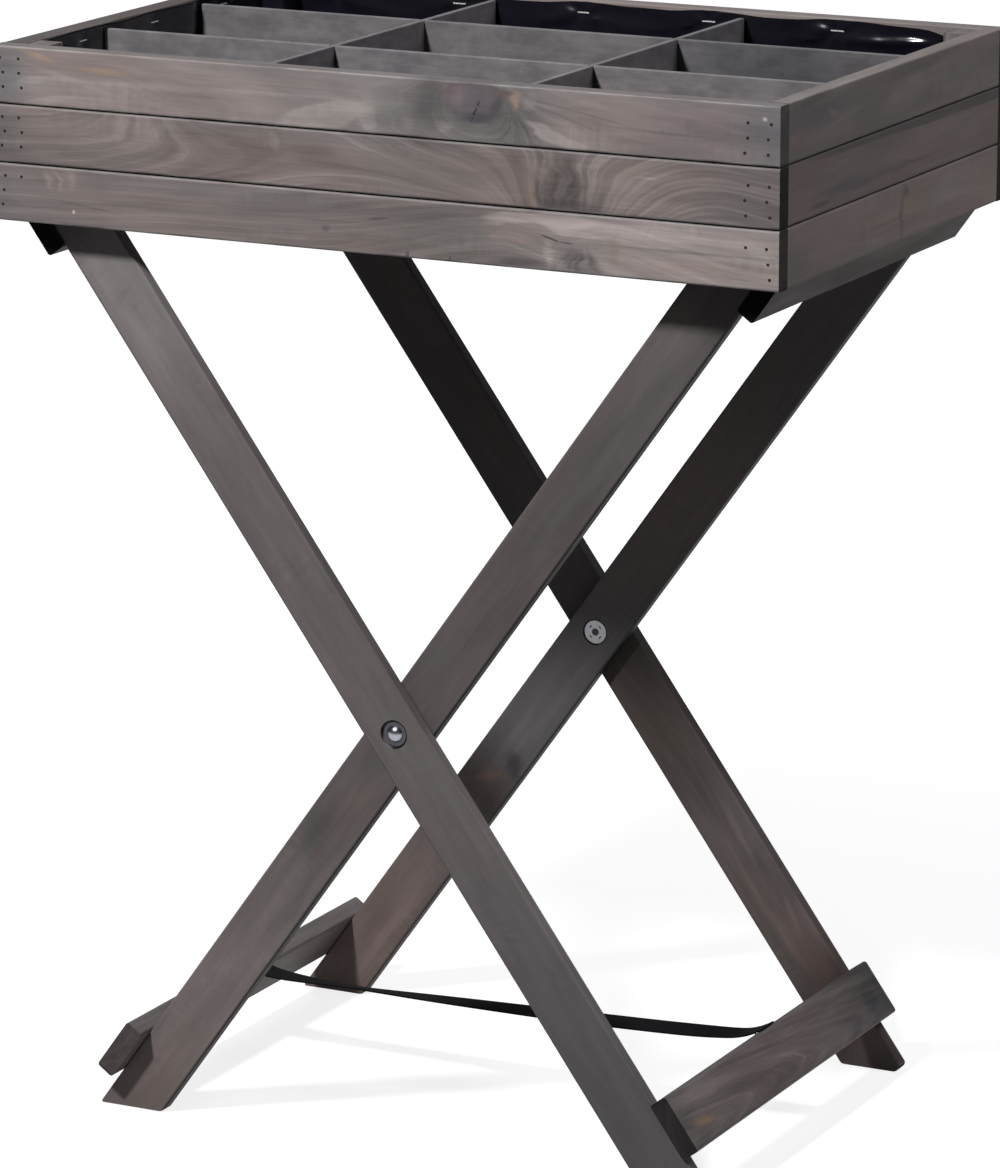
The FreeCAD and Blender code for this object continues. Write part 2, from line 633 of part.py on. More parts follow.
def strap(staples):
    """Strap along its route: straight runs joined by tangent arcs, STRAP_WIDTH wide about Y = 0."""
    print("strap route", [(round(x, 2), round(z, 2)) for x, z in strap_route()])
    route = [FreeCAD.Vector(x, -STRAP_WIDTH / 2, z) for x, z in strap_route()]
    runs = [(b - a) for a, b in zip(route, route[1:])]
    ways = [run.normalize() for run in [FreeCAD.Vector(r) for r in runs]]
    lefts = [Y.cross(way) * -1 for way in ways]
    half = STRAP_THICKNESS / 2
    sides = {offset: [[route[0] + lefts[0] * offset]] for offset in (half, -half)}
    length = sum(run.Length for run in runs)
    for k in range(1, len(route) - 1):
        turn = ways[k - 1].getAngle(ways[k])
        reach = STRAP_TURN_SHARE * min(runs[k - 1].Length, runs[k].Length)
        radius = reach / math.tan(turn / 2)
        length += radius * turn - 2 * reach
        hand = 1 if lefts[k - 1].dot(ways[k]) > 0 else -1
        start = route[k] - ways[k - 1] * reach
        end = route[k] + ways[k] * reach
        centre = start + lefts[k - 1] * hand * radius
        outward = (route[k] - centre).normalize()
        print(f"strap turn {k}: radius {radius:.1f} mm")
        for offset, points in sides.items():
            middle = centre + outward * (radius - hand * offset)
            points.append([start + lefts[k - 1] * offset, middle, end + lefts[k] * offset])
    edges = []
    for offset, points in sides.items():
        points.append([route[-1] + lefts[-1] * offset])
        for before, after in zip(points, points[1:]):
            edges.append(Part.LineSegment(before[-1], after[0]).toShape())
            if len(after) == 3:
                edges.append(Part.Arc(*after).toShape())
    for point, left in ((route[0], lefts[0]), (route[-1], lefts[-1])):
        edges.append(Part.LineSegment(point + left * half, point - left * half).toShape())
    outline = Part.Wire(Part.__sortEdges__(edges))
    body = Part.Face(outline).extrude(Y * STRAP_WIDTH)
    ratio = body.Volume / (length * STRAP_THICKNESS * STRAP_WIDTH)
    print(f"strap length {length:.1f} mm, volume over section times length {ratio:.4f}")
    return body.cut(staples)


def make_stand():
    outer_staples = make_frame("outer", 1, OUTER_FACE_Y, OUTER_STRETCHER_RISE)
    inner_staples = make_frame("inner", -1, INNER_FACE_Y, INNER_STRETCHER_RISE)
    make_pivots()
    save("spread_strap", strap(outer_staples + inner_staples))


os.makedirs("parts", exist_ok=True)
make_box()
make_dividers()
make_stand()
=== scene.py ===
"""Looks of the herb planter table: stained boards, black film liner, webbing strap and steel fittings."""

import math
from collections import namedtuple

import bpy
import numpy as np
from mathutils import Matrix, Vector


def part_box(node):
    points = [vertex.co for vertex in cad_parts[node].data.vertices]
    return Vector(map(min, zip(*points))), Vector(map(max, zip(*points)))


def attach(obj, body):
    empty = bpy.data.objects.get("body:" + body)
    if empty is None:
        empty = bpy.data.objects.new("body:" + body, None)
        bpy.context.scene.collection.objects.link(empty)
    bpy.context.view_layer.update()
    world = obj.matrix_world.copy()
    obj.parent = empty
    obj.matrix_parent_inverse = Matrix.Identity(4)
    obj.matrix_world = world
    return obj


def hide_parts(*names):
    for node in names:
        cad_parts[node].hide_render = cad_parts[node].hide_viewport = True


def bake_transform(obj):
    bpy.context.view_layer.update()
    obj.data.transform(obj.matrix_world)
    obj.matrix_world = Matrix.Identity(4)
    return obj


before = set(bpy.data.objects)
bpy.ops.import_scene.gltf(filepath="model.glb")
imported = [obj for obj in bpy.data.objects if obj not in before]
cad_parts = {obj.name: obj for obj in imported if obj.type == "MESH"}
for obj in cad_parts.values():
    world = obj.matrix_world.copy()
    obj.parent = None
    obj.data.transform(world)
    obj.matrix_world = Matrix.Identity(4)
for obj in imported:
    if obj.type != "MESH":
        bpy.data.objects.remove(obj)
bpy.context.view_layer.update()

# Camera and lamps, in metres, degrees and watts
CAMERA_PLACE = (1.9861, -3.9591, 1.5082)
CAMERA_YAW = 26.693
CAMERA_PITCH = 13.885
CAMERA_FOCUS_PIXELS = 5849.85
CAMERA_CLIP_END = 60.0
IMAGE_HEIGHT = 1168
SENSOR = 36.0
LAMP_TARGET = Vector((0.0, 0.0, 0.70))
# Name, place, size and power
LAMPS = (
    ("key", Vector((-0.45, -1.6, 2.19)), 0.25, 50.0),
    ("side_fill", Vector((1.5, 0.5, 2.3)), 1.4, 17.0),
    ("back_fill", Vector((-1.2, 2.4, 2.2)), 1.2, 26.0),
)
SKY_STRENGTH = 0.035

# Floor: its half size, its level for bounced light and its level and glow for the lens, near and far
FLOOR_REACH = 14.0
FLOOR_SINK = 0.0005
FLOOR_BOUNCE, FLOOR_FAR_BOUNCE, FLOOR_BOUNCE_RANGE = 0.36, 0.07, (0.4, 1.2)
FLOOR_GLOW, FLOOR_FAR_GLOW, FLOOR_GLOW_RANGE = 0.82, 1.0, (0.5, 2.4)
FLOOR_SEEN = 0.34

# Stand: its pivot, the slope of its legs and half sizes along, through and across its boards
PIVOT_HEIGHT = 0.3375
LEG_ANGLE = math.atan2(0.3725, 0.268)
LEG_HALF = (0.46, 0.00625, 0.023)
STRETCHER_HALF = (0.18975, 0.00775, 0.02375)
TOP_RAIL_HALF = (0.18975, 0.00775, 0.0185)

# Strap, its route as (x, z) at y = 0
STRAP_ROUTE = (
    (-0.23442, 0.07588), (-0.22236, 0.06782), (-0.20046, 0.06429), (-0.15009, 0.06356), (-0.0603, 0.06527),
    (0.04044, 0.06762), (0.12804, 0.07059), (0.18498, 0.0735), (0.21564, 0.07715), (0.22771, 0.08522),
)
STRAP_WIDTH = 0.025
STRAP_THICKNESS = 0.0016
STRAP_SIDES = 20
STRAP_ROUNDING = 0.35
STRAP_RIB_PITCH, STRAP_PICK_PITCH = 0.0016, 0.0024
# Twist of the strap in degrees at places along x, and how many points its smoothing takes in
STRAP_TWIST_X = (-0.235, -0.205, -0.140, -0.060, 0.060, 0.170, 0.210, 0.228)
STRAP_TWIST = (0.0, -3.0, -16.5, -6.0, 3.0, 4.0, 0.0, 0.0)
STRAP_TWIST_BLUR = 25

# Liner
STAPLE_PITCH = 0.110
STAPLE_SHIFT = -0.030
STAPLES_LONG = 5
STAPLES_SHORT = 3
STAPLE_HEIGHT = 0.834
DIVIDER_X = 0.109
DIVIDER_Y = 0.074
RIM = 0.844
FILM_FLOOR = 0.73822
FILM_STEP = 0.002
FILM_THICKNESS = 0.0003
FILM_WALL_GAP = 0.0009
FILM_POST_GAP = 0.0011
# The film's edge: its drop below the rim, its dip between staples and how much that wavers
FILM_DROP = 0.0014
FILM_DIP, FILM_DIP_WAVER, FILM_LEFT_DIP = 0.0022, 0.0016, 0.0004
# The pulls on its edge: their depth, and where on the wall behind and at the front post they lie
FILM_REAR_PULL, FILM_REAR_PULL_X, FILM_REAR_PULL_WIDTH, FILM_REAR_Y = 0.006, 0.290, 0.016, 0.17
FILM_POST_PULL, FILM_POST_X, FILM_POST_Y = 0.011, 0.27, -0.15
# The film's turn from wall to floor: its height and how far it leaves the wall
FILM_TURN_HEIGHT, FILM_TURN_OFF = 0.003, 0.0006
# The film's relief: depth and reach of each form, less on the smoother left wall
STAND_DEPTH, STAND_FADE = 0.0030, 0.018
CREASE_DEPTH, CREASE_REACH, CREASE_CORE, CREASE_LEFT_SHARE = 0.0016, 0.035, 0.008, 0.2
RIPPLE_DEPTH, RIPPLE_LEFT_DEPTH, RIPPLE_FADE = 0.0008, 0.0002, 0.05
FOLD_DEPTH, FOLD_DROP, FOLD_SAG, FOLD_HEIGHT = 0.0020, 0.001, 0.011, 0.0065
PRESS_DEPTH, PRESS_RADIUS = 0.0004, 0.007
DIVIDER_PRESS, DIVIDER_PRESS_WIDTH = 0.85, 0.012
RELIEF_LIMIT = 0.0065
WALL_BAND, LEFT_BAND = 0.002, 0.01
# The film's rows as shares of its way down the wall, and on the floor as shares of the outline
FILM_WALL_ROWS = np.concatenate([np.linspace(0.0, 0.24, 27), np.linspace(0.31, 1.0, 8)])
FILM_FLOOR_ROWS = np.concatenate([[0.996], np.linspace(0.985, 0.02, 7)])
# Dents of the film on the back wall in mm: x, z, half length, half height, depth
FILM_DENTS = (
    (168, 826, 8, 2.4, 1.2), (256, 829.5, 17, 3.2, 1.8), (222, 827, 22, 3.3, 1.5),
    (62, 829.5, 4, 2.2, 0.9), (-22, 829.5, 9, 2.4, 0.8), (-132, 831, 8, 2.4, 0.9),
    (-54, 827, 14, 4, 0.8), (30, 826, 18, 4, 0.7),
)

# Wood: noise scales along, through and across a board, the width and core of its rubbed corners, and the
# width of the painted shade along its lower edge
SLOW_GRAIN = (3.2, 26, 26)
FINE_GRAIN = (14, 120, 120)
BROAD_GRAIN = (2.4, 17, 17)
PATCH_GRAIN = (6, 44, 44)
FIBRE_GRAIN = (9, 620, 620)
BEND_GRAIN = (26, 70, 70)
PLANER_MARKS = (190, 30, 40)
SCUFF_MARKS = (16, 30, 42)
RUB_MARKS = (30, 60, 60)
BLOTCH_ACROSS = 70
BEND_REACH = (0.022, 0.0, 0.011)
FAN_BEAMS = 3.0
EDGE_WIDTH, EDGE_CORE = 0.0026, 0.0004

X = Vector((1, 0, 0))
Y = Vector((0, 1, 0))
Z = Vector((0, 0, 1))


class Finish:
    """A material while it is made: adds nodes and links them. Inputs are sockets or plain values."""

    def __init__(self, name):
        self.material = bpy.data.materials.new(name)
        self.material.use_nodes = True
        self.nodes = self.material.node_tree.nodes
        self.links = self.material.node_tree.links
        self.shader = self.nodes["Principled BSDF"]
        self.coordinates = self.add("TexCoord")
        self.place = self.coordinates.outputs["Object"]

    def put(self, socket, value):
        if isinstance(value, bpy.types.NodeSocket):
            self.links.new(value, socket)
        else:
            socket.default_value = value

    def add(self, kind, values=None, **settings):
        node = self.nodes.new("ShaderNode" + kind)
        for key, value in settings.items():
            setattr(node, key, value)
        for key, value in (values or {}).items():
            self.put(node.inputs[key], value)
        return node

    def math(self, operation, a, b=0.0):
        return self.add("Math", {0: a, 1: b}, operation=operation).outputs[0]

    def times(self, a, b):
        return self.math("MULTIPLY", a, b)

    def total(self, *values):
        result = values[0]
        for value in values[1:]:
            result = self.math("ADD", result, value)
        return result

    def fade(self, value, low, high, start=0.0, end=1.0):
        """Smooth step from start, where value is low, to end, where it is high."""
        values = {"Value": value, "From Min": low, "From Max": high, "To Min": start, "To Max": end}
        return self.add("MapRange", values, interpolation_type="SMOOTHSTEP").outputs[0]

    def local(self, place, location, turn=(0.0, 0.0, 0.0), scale=(1.0, 1.0, 1.0)):
        """Place as seen from a frame at location, turned and scaled."""
        values = {"Vector": place, "Location": location, "Rotation": turn, "Scale": scale}
        return self.add("Mapping", values, vector_type="TEXTURE").outputs[0]

    def split(self, place):
        return self.add("SeparateXYZ", {0: place}).outputs

    def stretched(self, place, scale, seed):
        values = {"Vector": place, "Location": (seed, 1.7 * seed, 2.3 * seed), "Scale": scale}
        return self.add("Mapping", values).outputs[0]

    def noise(self, place, detail=2.0, roughness=0.5):
        values = {"Vector": place, "Scale": 1.0, "Detail": detail, "Roughness": roughness}
        return self.add("TexNoise", values).outputs["Fac"]

    def grain(self, place, scale, seed, detail=2.0, roughness=0.5):
        """Noise of the place, stretched by scale and moved by seed."""
        return self.noise(self.stretched(place, scale, seed), detail, roughness)

    def length(self, place):
        return self.add("VectorMath", {0: place}, operation="LENGTH").outputs["Value"]

    def dot(self, a, b):
        return self.add("VectorMath", {0: a, 1: b}, operation="DOT_PRODUCT").outputs["Value"]

    def mix(self, amount, a, b, blend="MIX"):
        node = self.add("Mix", data_type="RGBA", blend_type=blend)
        self.put(node.inputs[0], amount)
        self.put(node.inputs[6], a)
        self.put(node.inputs[7], b)
        return node.outputs[2]

    def grey(self, amount):
        return self.add("CombineColor", {0: amount, 1: amount, 2: amount}).outputs[0]

    def shade(self, colour, amount):
        """Colour times a grey amount."""
        return self.mix(1.0, colour, self.grey(amount), "MULTIPLY")

    def spot(self, place, mark, power=2.0):
        """Soft spot exp(-r ** power) on a board's face, r counted in the mark's own half sizes."""
        size = (mark.length / 1000, 10.0, mark.height / 1000)
        centre = (mark.along / 1000, 0.0, mark.across / 1000)
        r = self.length(self.local(place, centre, (0.0, math.radians(mark.turn), 0.0), size))
        return self.math("EXPONENT", self.times(self.math("POWER", r, power), -1.0))

    def rays(self, place, fan, seed):
        """Streaks inside the fan's spot that spread from its root: noise of the angle about the root."""
        root = (fan.along / 1000, 0.0, (fan.across + fan.root) / 1000)
        along, _, across = self.split(self.local(place, root))
        angle = self.math("ARCTAN2", along, across)
        beam_place = self.add("CombineXYZ", {0: self.times(angle, FAN_BEAMS), 1: seed, 2: 0.0})
        beams = self.fade(self.noise(beam_place.outputs[0], 3.0, 0.6), 0.30, 0.68, -0.50, 0.30)
        return self.times(self.spot(place, fan), beams)

    def bend(self, place, seed, reach):
        """Place moved by slow noise, by up to about half of reach, so that marks follow the grain."""
        values = {"Vector": self.stretched(place, BEND_GRAIN, seed), "Scale": 1.0, "Detail": 2.0}
        noise = self.add("TexNoise", values).outputs["Color"]
        centred = self.add("VectorMath", {0: noise, 1: (0.5, 0.5, 0.5)}, operation="SUBTRACT").outputs[0]
        moved = self.add("VectorMath", {0: centred, 1: reach}, operation="MULTIPLY").outputs[0]
        return self.add("VectorMath", {0: place, 1: moved}, operation="ADD").outputs[0]

    def surface(self, name, value):
        self.put(self.shader.inputs[name], value)

    def bump(self, height, strength, depth):
        values = {"Height": height, "Strength": strength, "Distance": depth}
        self.surface("Normal", self.add("Bump", values).outputs[0])


# A mark's place on its board's face and its half sizes (mm), and its turn (degrees). A swell moves the growth
# rings by so many rings. A fan's beams spread from its root, so far above its middle. A tint with an edge has
# a ragged outline, that soft, and a firm one isn't bent with the grain.
Swell = namedtuple("Swell", "along across length height rings turn", defaults=(0,))
Fan = namedtuple("Fan", "along across length height root turn", defaults=(0,))
Tint = namedtuple("Tint", "along across length height colour amount turn edge firm", defaults=(0, 0, False))
Board = namedtuple("Board", "centre turn half along")
Stain = namedtuple("Stain", "warm cool pale worn")

BOX_STAIN = Stain((0.240, 0.193, 0.182, 1), (0.180, 0.163, 0.161, 1), (0.300, 0.262, 0.250, 1),
                  (0.34, 0.32, 0.315, 1))
STAND_STAIN = Stain((0.200, 0.176, 0.172, 1), (0.172, 0.160, 0.168, 1), (0.235, 0.212, 0.210, 1),
                    (0.225, 0.21, 0.212, 1))
DIVIDER_STAIN = Stain((0.190, 0.178, 0.186, 1), (0.165, 0.156, 0.168, 1), (0.215, 0.205, 0.212, 1),
                      (0.30, 0.29, 0.30, 1))
COOL = BOX_STAIN.cool
PALE = BOX_STAIN.pale
WORN = BOX_STAIN.worn
SMOKE_AND_SHADOW = (0.075, 0.071, 0.072, 1)
SOOT = (0.048, 0.043, 0.049, 1)
SLATE = (0.120, 0.118, 0.126, 1)
MOSS = (0.150, 0.146, 0.138, 1)
UMBER = (0.152, 0.125, 0.119, 1)
KNOT = (0.096, 0.081, 0.092, 1)
ROSE = (0.165, 0.126, 0.128, 1)
HUSK = (0.100, 0.074, 0.060, 1)
HAZE_AND_SHADE = (0.082, 0.082, 0.092, 1)
BLUSH = (0.250, 0.198, 0.186, 1)
RUST = (0.270, 0.195, 0.155, 1)
ORANGE = (0.360, 0.245, 0.175, 1)
CRACK = (0.010, 0.009, 0.009, 1)
RESIN = (0.560, 0.480, 0.340, 1)
AMBER = (0.500, 0.345, 0.235, 1)
FAWN = (0.190, 0.147, 0.139, 1)
SAND = (0.430, 0.368, 0.354, 1)
CLAY = (0.360, 0.288, 0.274, 1)
BRICK = (0.310, 0.222, 0.206, 1)
LILAC = (0.150, 0.137, 0.153, 1)
# Near black painted shadow that the box casts on the tops of the legs.
PAINTED_BOX_SHADOW = (0.030, 0.014, 0.022, 1)


def axes_turn(along, across):
    """Euler turn of a frame whose x runs along the grain and whose z runs across the face."""
    through = across.cross(along)
    return tuple(Matrix((along, through, across)).transposed().to_euler())


def board_frame(node):
    """Board's middle, turn, half sizes (along, through, across) and grain direction."""
    low, high = (Vector(corner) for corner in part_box(node))
    centre = (low + high) / 2
    size = (high - low) / 2
    lean = -1 if node.startswith("inner") else 1
    leg = Vector((math.cos(LEG_ANGLE), 0, -lean * math.sin(LEG_ANGLE)))
    if "_leg_" in node:
        over = Vector((lean * math.sin(LEG_ANGLE), 0, math.cos(LEG_ANGLE)))
        return Board((0.0, centre.y, PIVOT_HEIGHT), axes_turn(leg, over), LEG_HALF, leg)
    if "stretcher" in node or "rail" in node:
        half = STRETCHER_HALF if "stretcher" in node else TOP_RAIL_HALF
        return Board(tuple(centre), axes_turn(Y, leg), half, Y)
    if "post" in node:
        return Board(tuple(centre), axes_turn(Z, X), (size.z, size.y, size.x), Z)
    if node.startswith(("left", "right", "depth", "floor_bearer")):
        return Board(tuple(centre), axes_turn(Y, Z), (size.y, size.x, size.z), Y)
    if node.startswith("floor_slat"):
        return Board(tuple(centre), axes_turn(X, Y), (size.x, size.z, size.y), X)
    return Board(tuple(centre), axes_turn(X, Z), (size.x, size.y, size.z), X)


def growth_rings(f, place, along, seed, spacing, drift, heart, swells):
    """Fine waver of a board, tone of each of its growth rings and thin pale line in each ring.

    Rings are shells about a heart line behind the face: ring = distance to the heart / spacing, plus a
    drift along the board, slow noise and the swells that turn the rings round a knot. Noise along ring
    gives each ring its own tone, and the part of ring after the point draws the line.
    """
    heart_frame = f.local(place, (0.0, *heart), scale=(1000.0, 1.0, 1.0))
    rings = f.math("DIVIDE", f.length(heart_frame), spacing / 1000)
    slow = f.grain(place, SLOW_GRAIN, seed)
    fine = f.grain(place, FINE_GRAIN, seed + 3.1, 3.0)
    field = f.total(rings, f.times(along, drift), f.times(slow, 3.0), f.times(fine, 0.6))
    for swell in swells:
        field = f.total(field, f.times(f.spot(place, swell), swell.rings))
    ring_place = f.add("CombineXYZ", {0: f.times(field, 0.62), 1: f.times(along, 4.0), 2: seed})
    ring_tone = f.noise(ring_place.outputs[0], 3.0, 0.6)
    band = f.math("FRACT", field)
    line = f.times(f.fade(band, 0.20, 0.46), f.fade(band, 0.54, 0.66, 1.0, 0.0))
    return fine, ring_tone, line


def worn_edges_and_painted_shade(f, board, place, split, seed, colour, wear, worn):
    """Colour with painted shade along the board's lower edge and the stain rubbed off along its corners."""
    _, through, across = split
    # Painted shade between parts: the lowest few mm of the board darkened, down to 0.15 at its lower face.
    colour = f.shade(colour, f.fade(across, -board.half[2], EDGE_WIDTH - board.half[2], 0.15, 1.0))
    near_edge = 1.0
    for value, half in ((through, board.half[1]), (across, board.half[2])):
        reach = f.math("ABSOLUTE", value)
        near_edge = f.times(near_edge, f.fade(reach, half - EDGE_WIDTH, half - EDGE_CORE))
    rubbed = f.fade(f.grain(place, RUB_MARKS, seed + 2.0, 3.0), 0.35, 0.65)
    return f.mix(f.times(near_edge, f.times(rubbed, wear)), colour, worn)


def stained_wood(node, seed, stain=BOX_STAIN, tone=1.0, contrast=1.0, spacing=5.5, drift=0.0, warmth=0.5,
                 wear=0.6, rim=1.0, ends=0.09, gloss=0.32, side=1.0, flow=12.0, cloud=0.12,
                 heart=(0.030, 0.012), swells=(), fans=(), tints=()):
    """Stained softwood on one board: growth rings, fibres and blotches, and over them fans of rays and tints.

    tone is the level of the whole board and ends the level of its end grain. rim and side are painted light
    and shade: the levels of its faces that look up and of its upper edge, darker below 1 and lighter above.
    contrast and spacing (mm) belong to the rings, flow and cloud to the blotches.
    """
    board = board_frame(node)
    f = Finish("wood_" + node)
    place = f.local(f.place, board.centre, board.turn)
    split = f.split(place)
    fine, ring_tone, line = growth_rings(f, place, split[0], seed, spacing, drift, heart, swells)

    broad = f.grain(place, BROAD_GRAIN, seed + 7.7)
    patchy = f.fade(f.grain(place, PATCH_GRAIN, seed + 1.3), 0.36, 0.62)
    colour = f.mix(f.fade(broad, 0.62 - 0.4 * warmth, 0.92 - 0.4 * warmth), stain.warm, stain.cool)
    pale = f.times(line, f.times(patchy, f.fade(ring_tone, 0.34, 0.54, 0.0, 0.8 * contrast)))
    colour = f.mix(pale, colour, stain.pale)

    fibre = f.grain(place, FIBRE_GRAIN, seed + 5.0)
    blotch = f.grain(place, (flow, BLOTCH_ACROSS, BLOTCH_ACROSS), seed + 9.0, 4.0, 0.6)
    planed = f.grain(place, PLANER_MARKS, seed + 4.0, 3.0, 0.6)
    scuffed = f.fade(f.grain(place, SCUFF_MARKS, seed + 6.0), 0.50, 0.68)
    fuzz = 0.03 + 0.03 * contrast
    level = f.total(f.fade(fibre, 0.25, 0.75, -fuzz, fuzz), f.fade(blotch, 0.30, 0.70, -cloud, cloud),
                    f.fade(ring_tone, 0.30, 0.70, -0.20 * contrast, 0.20 * contrast),
                    f.times(scuffed, f.fade(planed, 0.30, 0.70, -0.07, 0.10)), 1.0)
    bent = f.bend(place, seed + 8.0, BEND_REACH) if tints else place
    for fan in fans:
        level = f.total(level, f.rays(bent, fan, seed))
    colour = f.shade(colour, level)

    for tint in tints:
        amount = f.spot(place if tint.firm or tint.height <= 2.5 else bent, tint, 3.0)
        if tint.edge:
            ragged = f.total(amount, f.times(fine, 0.30), f.times(blotch, 0.36), -0.33)
            amount = f.fade(ragged, 0.42 - tint.edge, 0.42 + tint.edge)
        colour = f.mix(f.times(amount, tint.amount), colour, f.shade(tint.colour, level))
    colour = worn_edges_and_painted_shade(f, board, place, split, seed, colour, wear, stain.worn)

    normal = f.coordinates.outputs["Normal"]
    end_grain = f.fade(f.math("ABSOLUTE", f.dot(normal, board.along)), 0.55, 0.8)
    upward = f.fade(f.dot(normal, Z), 0.6, 0.9)
    colour = f.mix(f.times(upward, 0.6), colour, f.shade(stain.cool, level))
    colour = f.shade(colour, f.fade(end_grain, 0.0, 1.0, tone, ends * tone))
    # Painted light and shade on faces that look up: rim below 1 darkens them, above 1 lightens them.
    colour = f.shade(colour, f.fade(upward, 0.0, 1.0, 1.0, rim))
    # Painted light and shade on the upper edge: side above 1 lightens it, below 1 darkens it.
    if side != 1.0:
        tilt = f.split(f.local(normal, (0.0, 0.0, 0.0), board.turn))[2]
        colour = f.shade(colour, f.fade(tilt, 0.7, 0.9, 1.0, side))

    f.surface("Base Color", colour)
    rough = f.total(f.times(blotch, 0.30), f.times(end_grain, 0.35), f.times(upward, 0.35), 0.46)
    f.surface("Roughness", rough)
    f.surface("Specular IOR Level", gloss)
    f.bump(f.total(f.times(fibre, 0.7), f.times(line, 0.25), f.times(planed, 0.15)), 0.30, 0.0004)
    dress(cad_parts[node], f.material)


def dress(obj, material):
    obj.data.materials.clear()
    obj.data.materials.append(material)


def steel(name, colour, roughness, streak, metallic=1.0, painted_shade_within=0.0):
    """Bare or plated steel: a metal whose roughness and tone vary in fine streaks and soft stains.

    Within a given depth of the middle plane it is darkened: painted shade on the ends of the bolts inside
    their nuts.
    """
    f = Finish(name)
    place = f.place
    scratch = f.grain(place, (300.0, 300.0, 2600.0), 0.3, 3.0, 0.6)
    stain = f.grain(place, (220.0, 220.0, 220.0), 1.9, 3.0, 0.55)
    level = f.total(f.times(scratch, streak), f.times(stain, streak), 1.0 - streak)
    # Painted shade: near black towards the middle plane, where the bolts' ends sit inside the tee nuts.
    if painted_shade_within:
        depth = f.math("ABSOLUTE", f.split(place)[1])
        level = f.times(level, f.fade(depth, painted_shade_within - 0.001, painted_shade_within, 0.08, 1.0))
    f.surface("Base Color", f.shade((*colour, 1.0), level))
    f.surface("Roughness", f.total(f.times(stain, 0.3 * roughness), roughness))
    f.surface("Metallic", metallic)
    f.bump(scratch, 0.08, 0.0001)
    return f.material


def dowel_wood():
    """Plain hardwood: straight fine grain along each dowel."""
    f = Finish("dowel_wood")
    grain = f.grain(f.place, (900.0, 40.0, 900.0), 4.0, 3.0)
    f.surface("Base Color", f.mix(grain, (0.48, 0.33, 0.19, 1.0), (0.62, 0.46, 0.29, 1.0)))
    f.surface("Roughness", 0.6)
    f.bump(grain, 0.2, 0.0002)
    return f.material


def film_plastic():
    """Black film: near black with a faint blue, glossy, with fine stretch marks."""
    f = Finish("liner_film")
    place = f.place
    haze = f.grain(place, (24.0, 24.0, 30.0), 0.7, 3.0, 0.55)
    crease = f.grain(place, (34.0, 34.0, 22.0), 2.7, 1.0, 0.4)
    colour = f.mix(haze, (0.005, 0.0046, 0.0082, 1.0), (0.011, 0.010, 0.017, 1.0))
    f.surface("Base Color", colour)
    f.surface("Roughness", f.total(f.times(haze, 0.10), 0.10))
    f.surface("Specular IOR Level", 0.5)
    f.bump(crease, 0.35, 0.004)
    return f.material


def film_edge():
    """Cut edge of the film: matt black, a little uneven."""
    f = Finish("liner_film_edge")
    haze = f.grain(f.place, (60.0, 60.0, 60.0), 0.4)
    f.surface("Base Color", f.mix(haze, (0.006, 0.006, 0.008, 1.0), (0.012, 0.012, 0.016, 1.0)))
    f.surface("Roughness", 1.0)
    f.surface("Specular IOR Level", 0.0)
    return f.material


def webbing():
    """Black woven webbing on the strap's own UV map: u in metres along it, v in metres across it."""
    f = Finish("strap_webbing")
    u, v, _ = f.split(f.coordinates.outputs["UV"])
    rib = f.math("SINE", f.times(v, 2 * math.pi / STRAP_RIB_PITCH))
    shift = f.times(f.math("SIGN", rib), math.pi / 2)
    pick = f.math("SINE", f.total(f.times(u, 2 * math.pi / STRAP_PICK_PITCH), shift))
    weave = f.times(f.math("ABSOLUTE", rib), f.total(f.times(pick, 0.5), 0.5))
    lint = f.grain(f.place, (160.0, 160.0, 160.0), 0.9, 3.0)
    tone = f.total(f.times(weave, 0.5), f.times(lint, 0.5))
    f.surface("Base Color", f.mix(tone, (0.002, 0.002, 0.003, 1.0), (0.008, 0.007, 0.010, 1.0)))
    f.surface("Roughness", 0.78)
    f.surface("Specular IOR Level", 0.07)
    f.surface("Sheen Weight", 0.01)
    f.bump(weave, 0.5, 0.0005)
    return f.material


def grid_mesh(name, points, wrap, uv=None, cap=False):
    """Mesh of a (rows, columns, 3) array of points. wrap joins the last column to the first.

    Faces come from index arrays: each takes a point, the next in its row, and the two below. cap closes
    the first and last rows of a tube with one face each.
    """
    rows, columns = points.shape[:2]
    index = np.arange(rows * columns).reshape(rows, columns)
    ring = np.concatenate([index, index[:, :1]], axis=1) if wrap else index
    quads = np.stack([ring[:-1, :-1], ring[:-1, 1:], ring[1:, 1:], ring[1:, :-1]], axis=-1).reshape(-1, 4)
    faces = quads.tolist()
    if cap:
        faces += [index[0, ::-1].tolist(), index[-1].tolist()]
    mesh = bpy.data.meshes.new(name)
    mesh.from_pydata(points.reshape(-1, 3).tolist(), [], faces)
    if uv is not None:
        corner = np.empty(len(mesh.loops), dtype=np.int32)
        mesh.loops.foreach_get("vertex_index", corner)
        mesh.uv_layers.new(name="UVMap").data.foreach_set("uv", uv.reshape(-1, 2)[corner].ravel())
    mesh.shade_smooth()
    obj = bpy.data.objects.new(name, mesh)
    bpy.context.scene.collection.objects.link(obj)
    return obj


def strap_line():
    """Strap's centre line: points read from a NURBS spline with the route as its control points."""
    curve = bpy.data.curves.new("strap_line", "CURVE")
    curve.dimensions = "3D"
    curve.resolution_u = 24
    spline = curve.splines.new("NURBS")
    spline.points.add(len(STRAP_ROUTE) - 1)
    spline.points.foreach_set("co", np.array([(x, 0.0, z, 1.0) for x, z in STRAP_ROUTE]).ravel())
    spline.order_u = 3
    spline.use_endpoint_u = True
    carrier = bpy.data.objects.new("strap_line", curve)
    bpy.context.scene.collection.objects.link(carrier)
    line = bpy.data.meshes.new_from_object(carrier)
    points = np.empty(len(line.vertices) * 3)
    line.vertices.foreach_get("co", points)
    bpy.data.objects.remove(carrier)
    bpy.data.meshes.remove(line)
    return points.reshape(-1, 3)


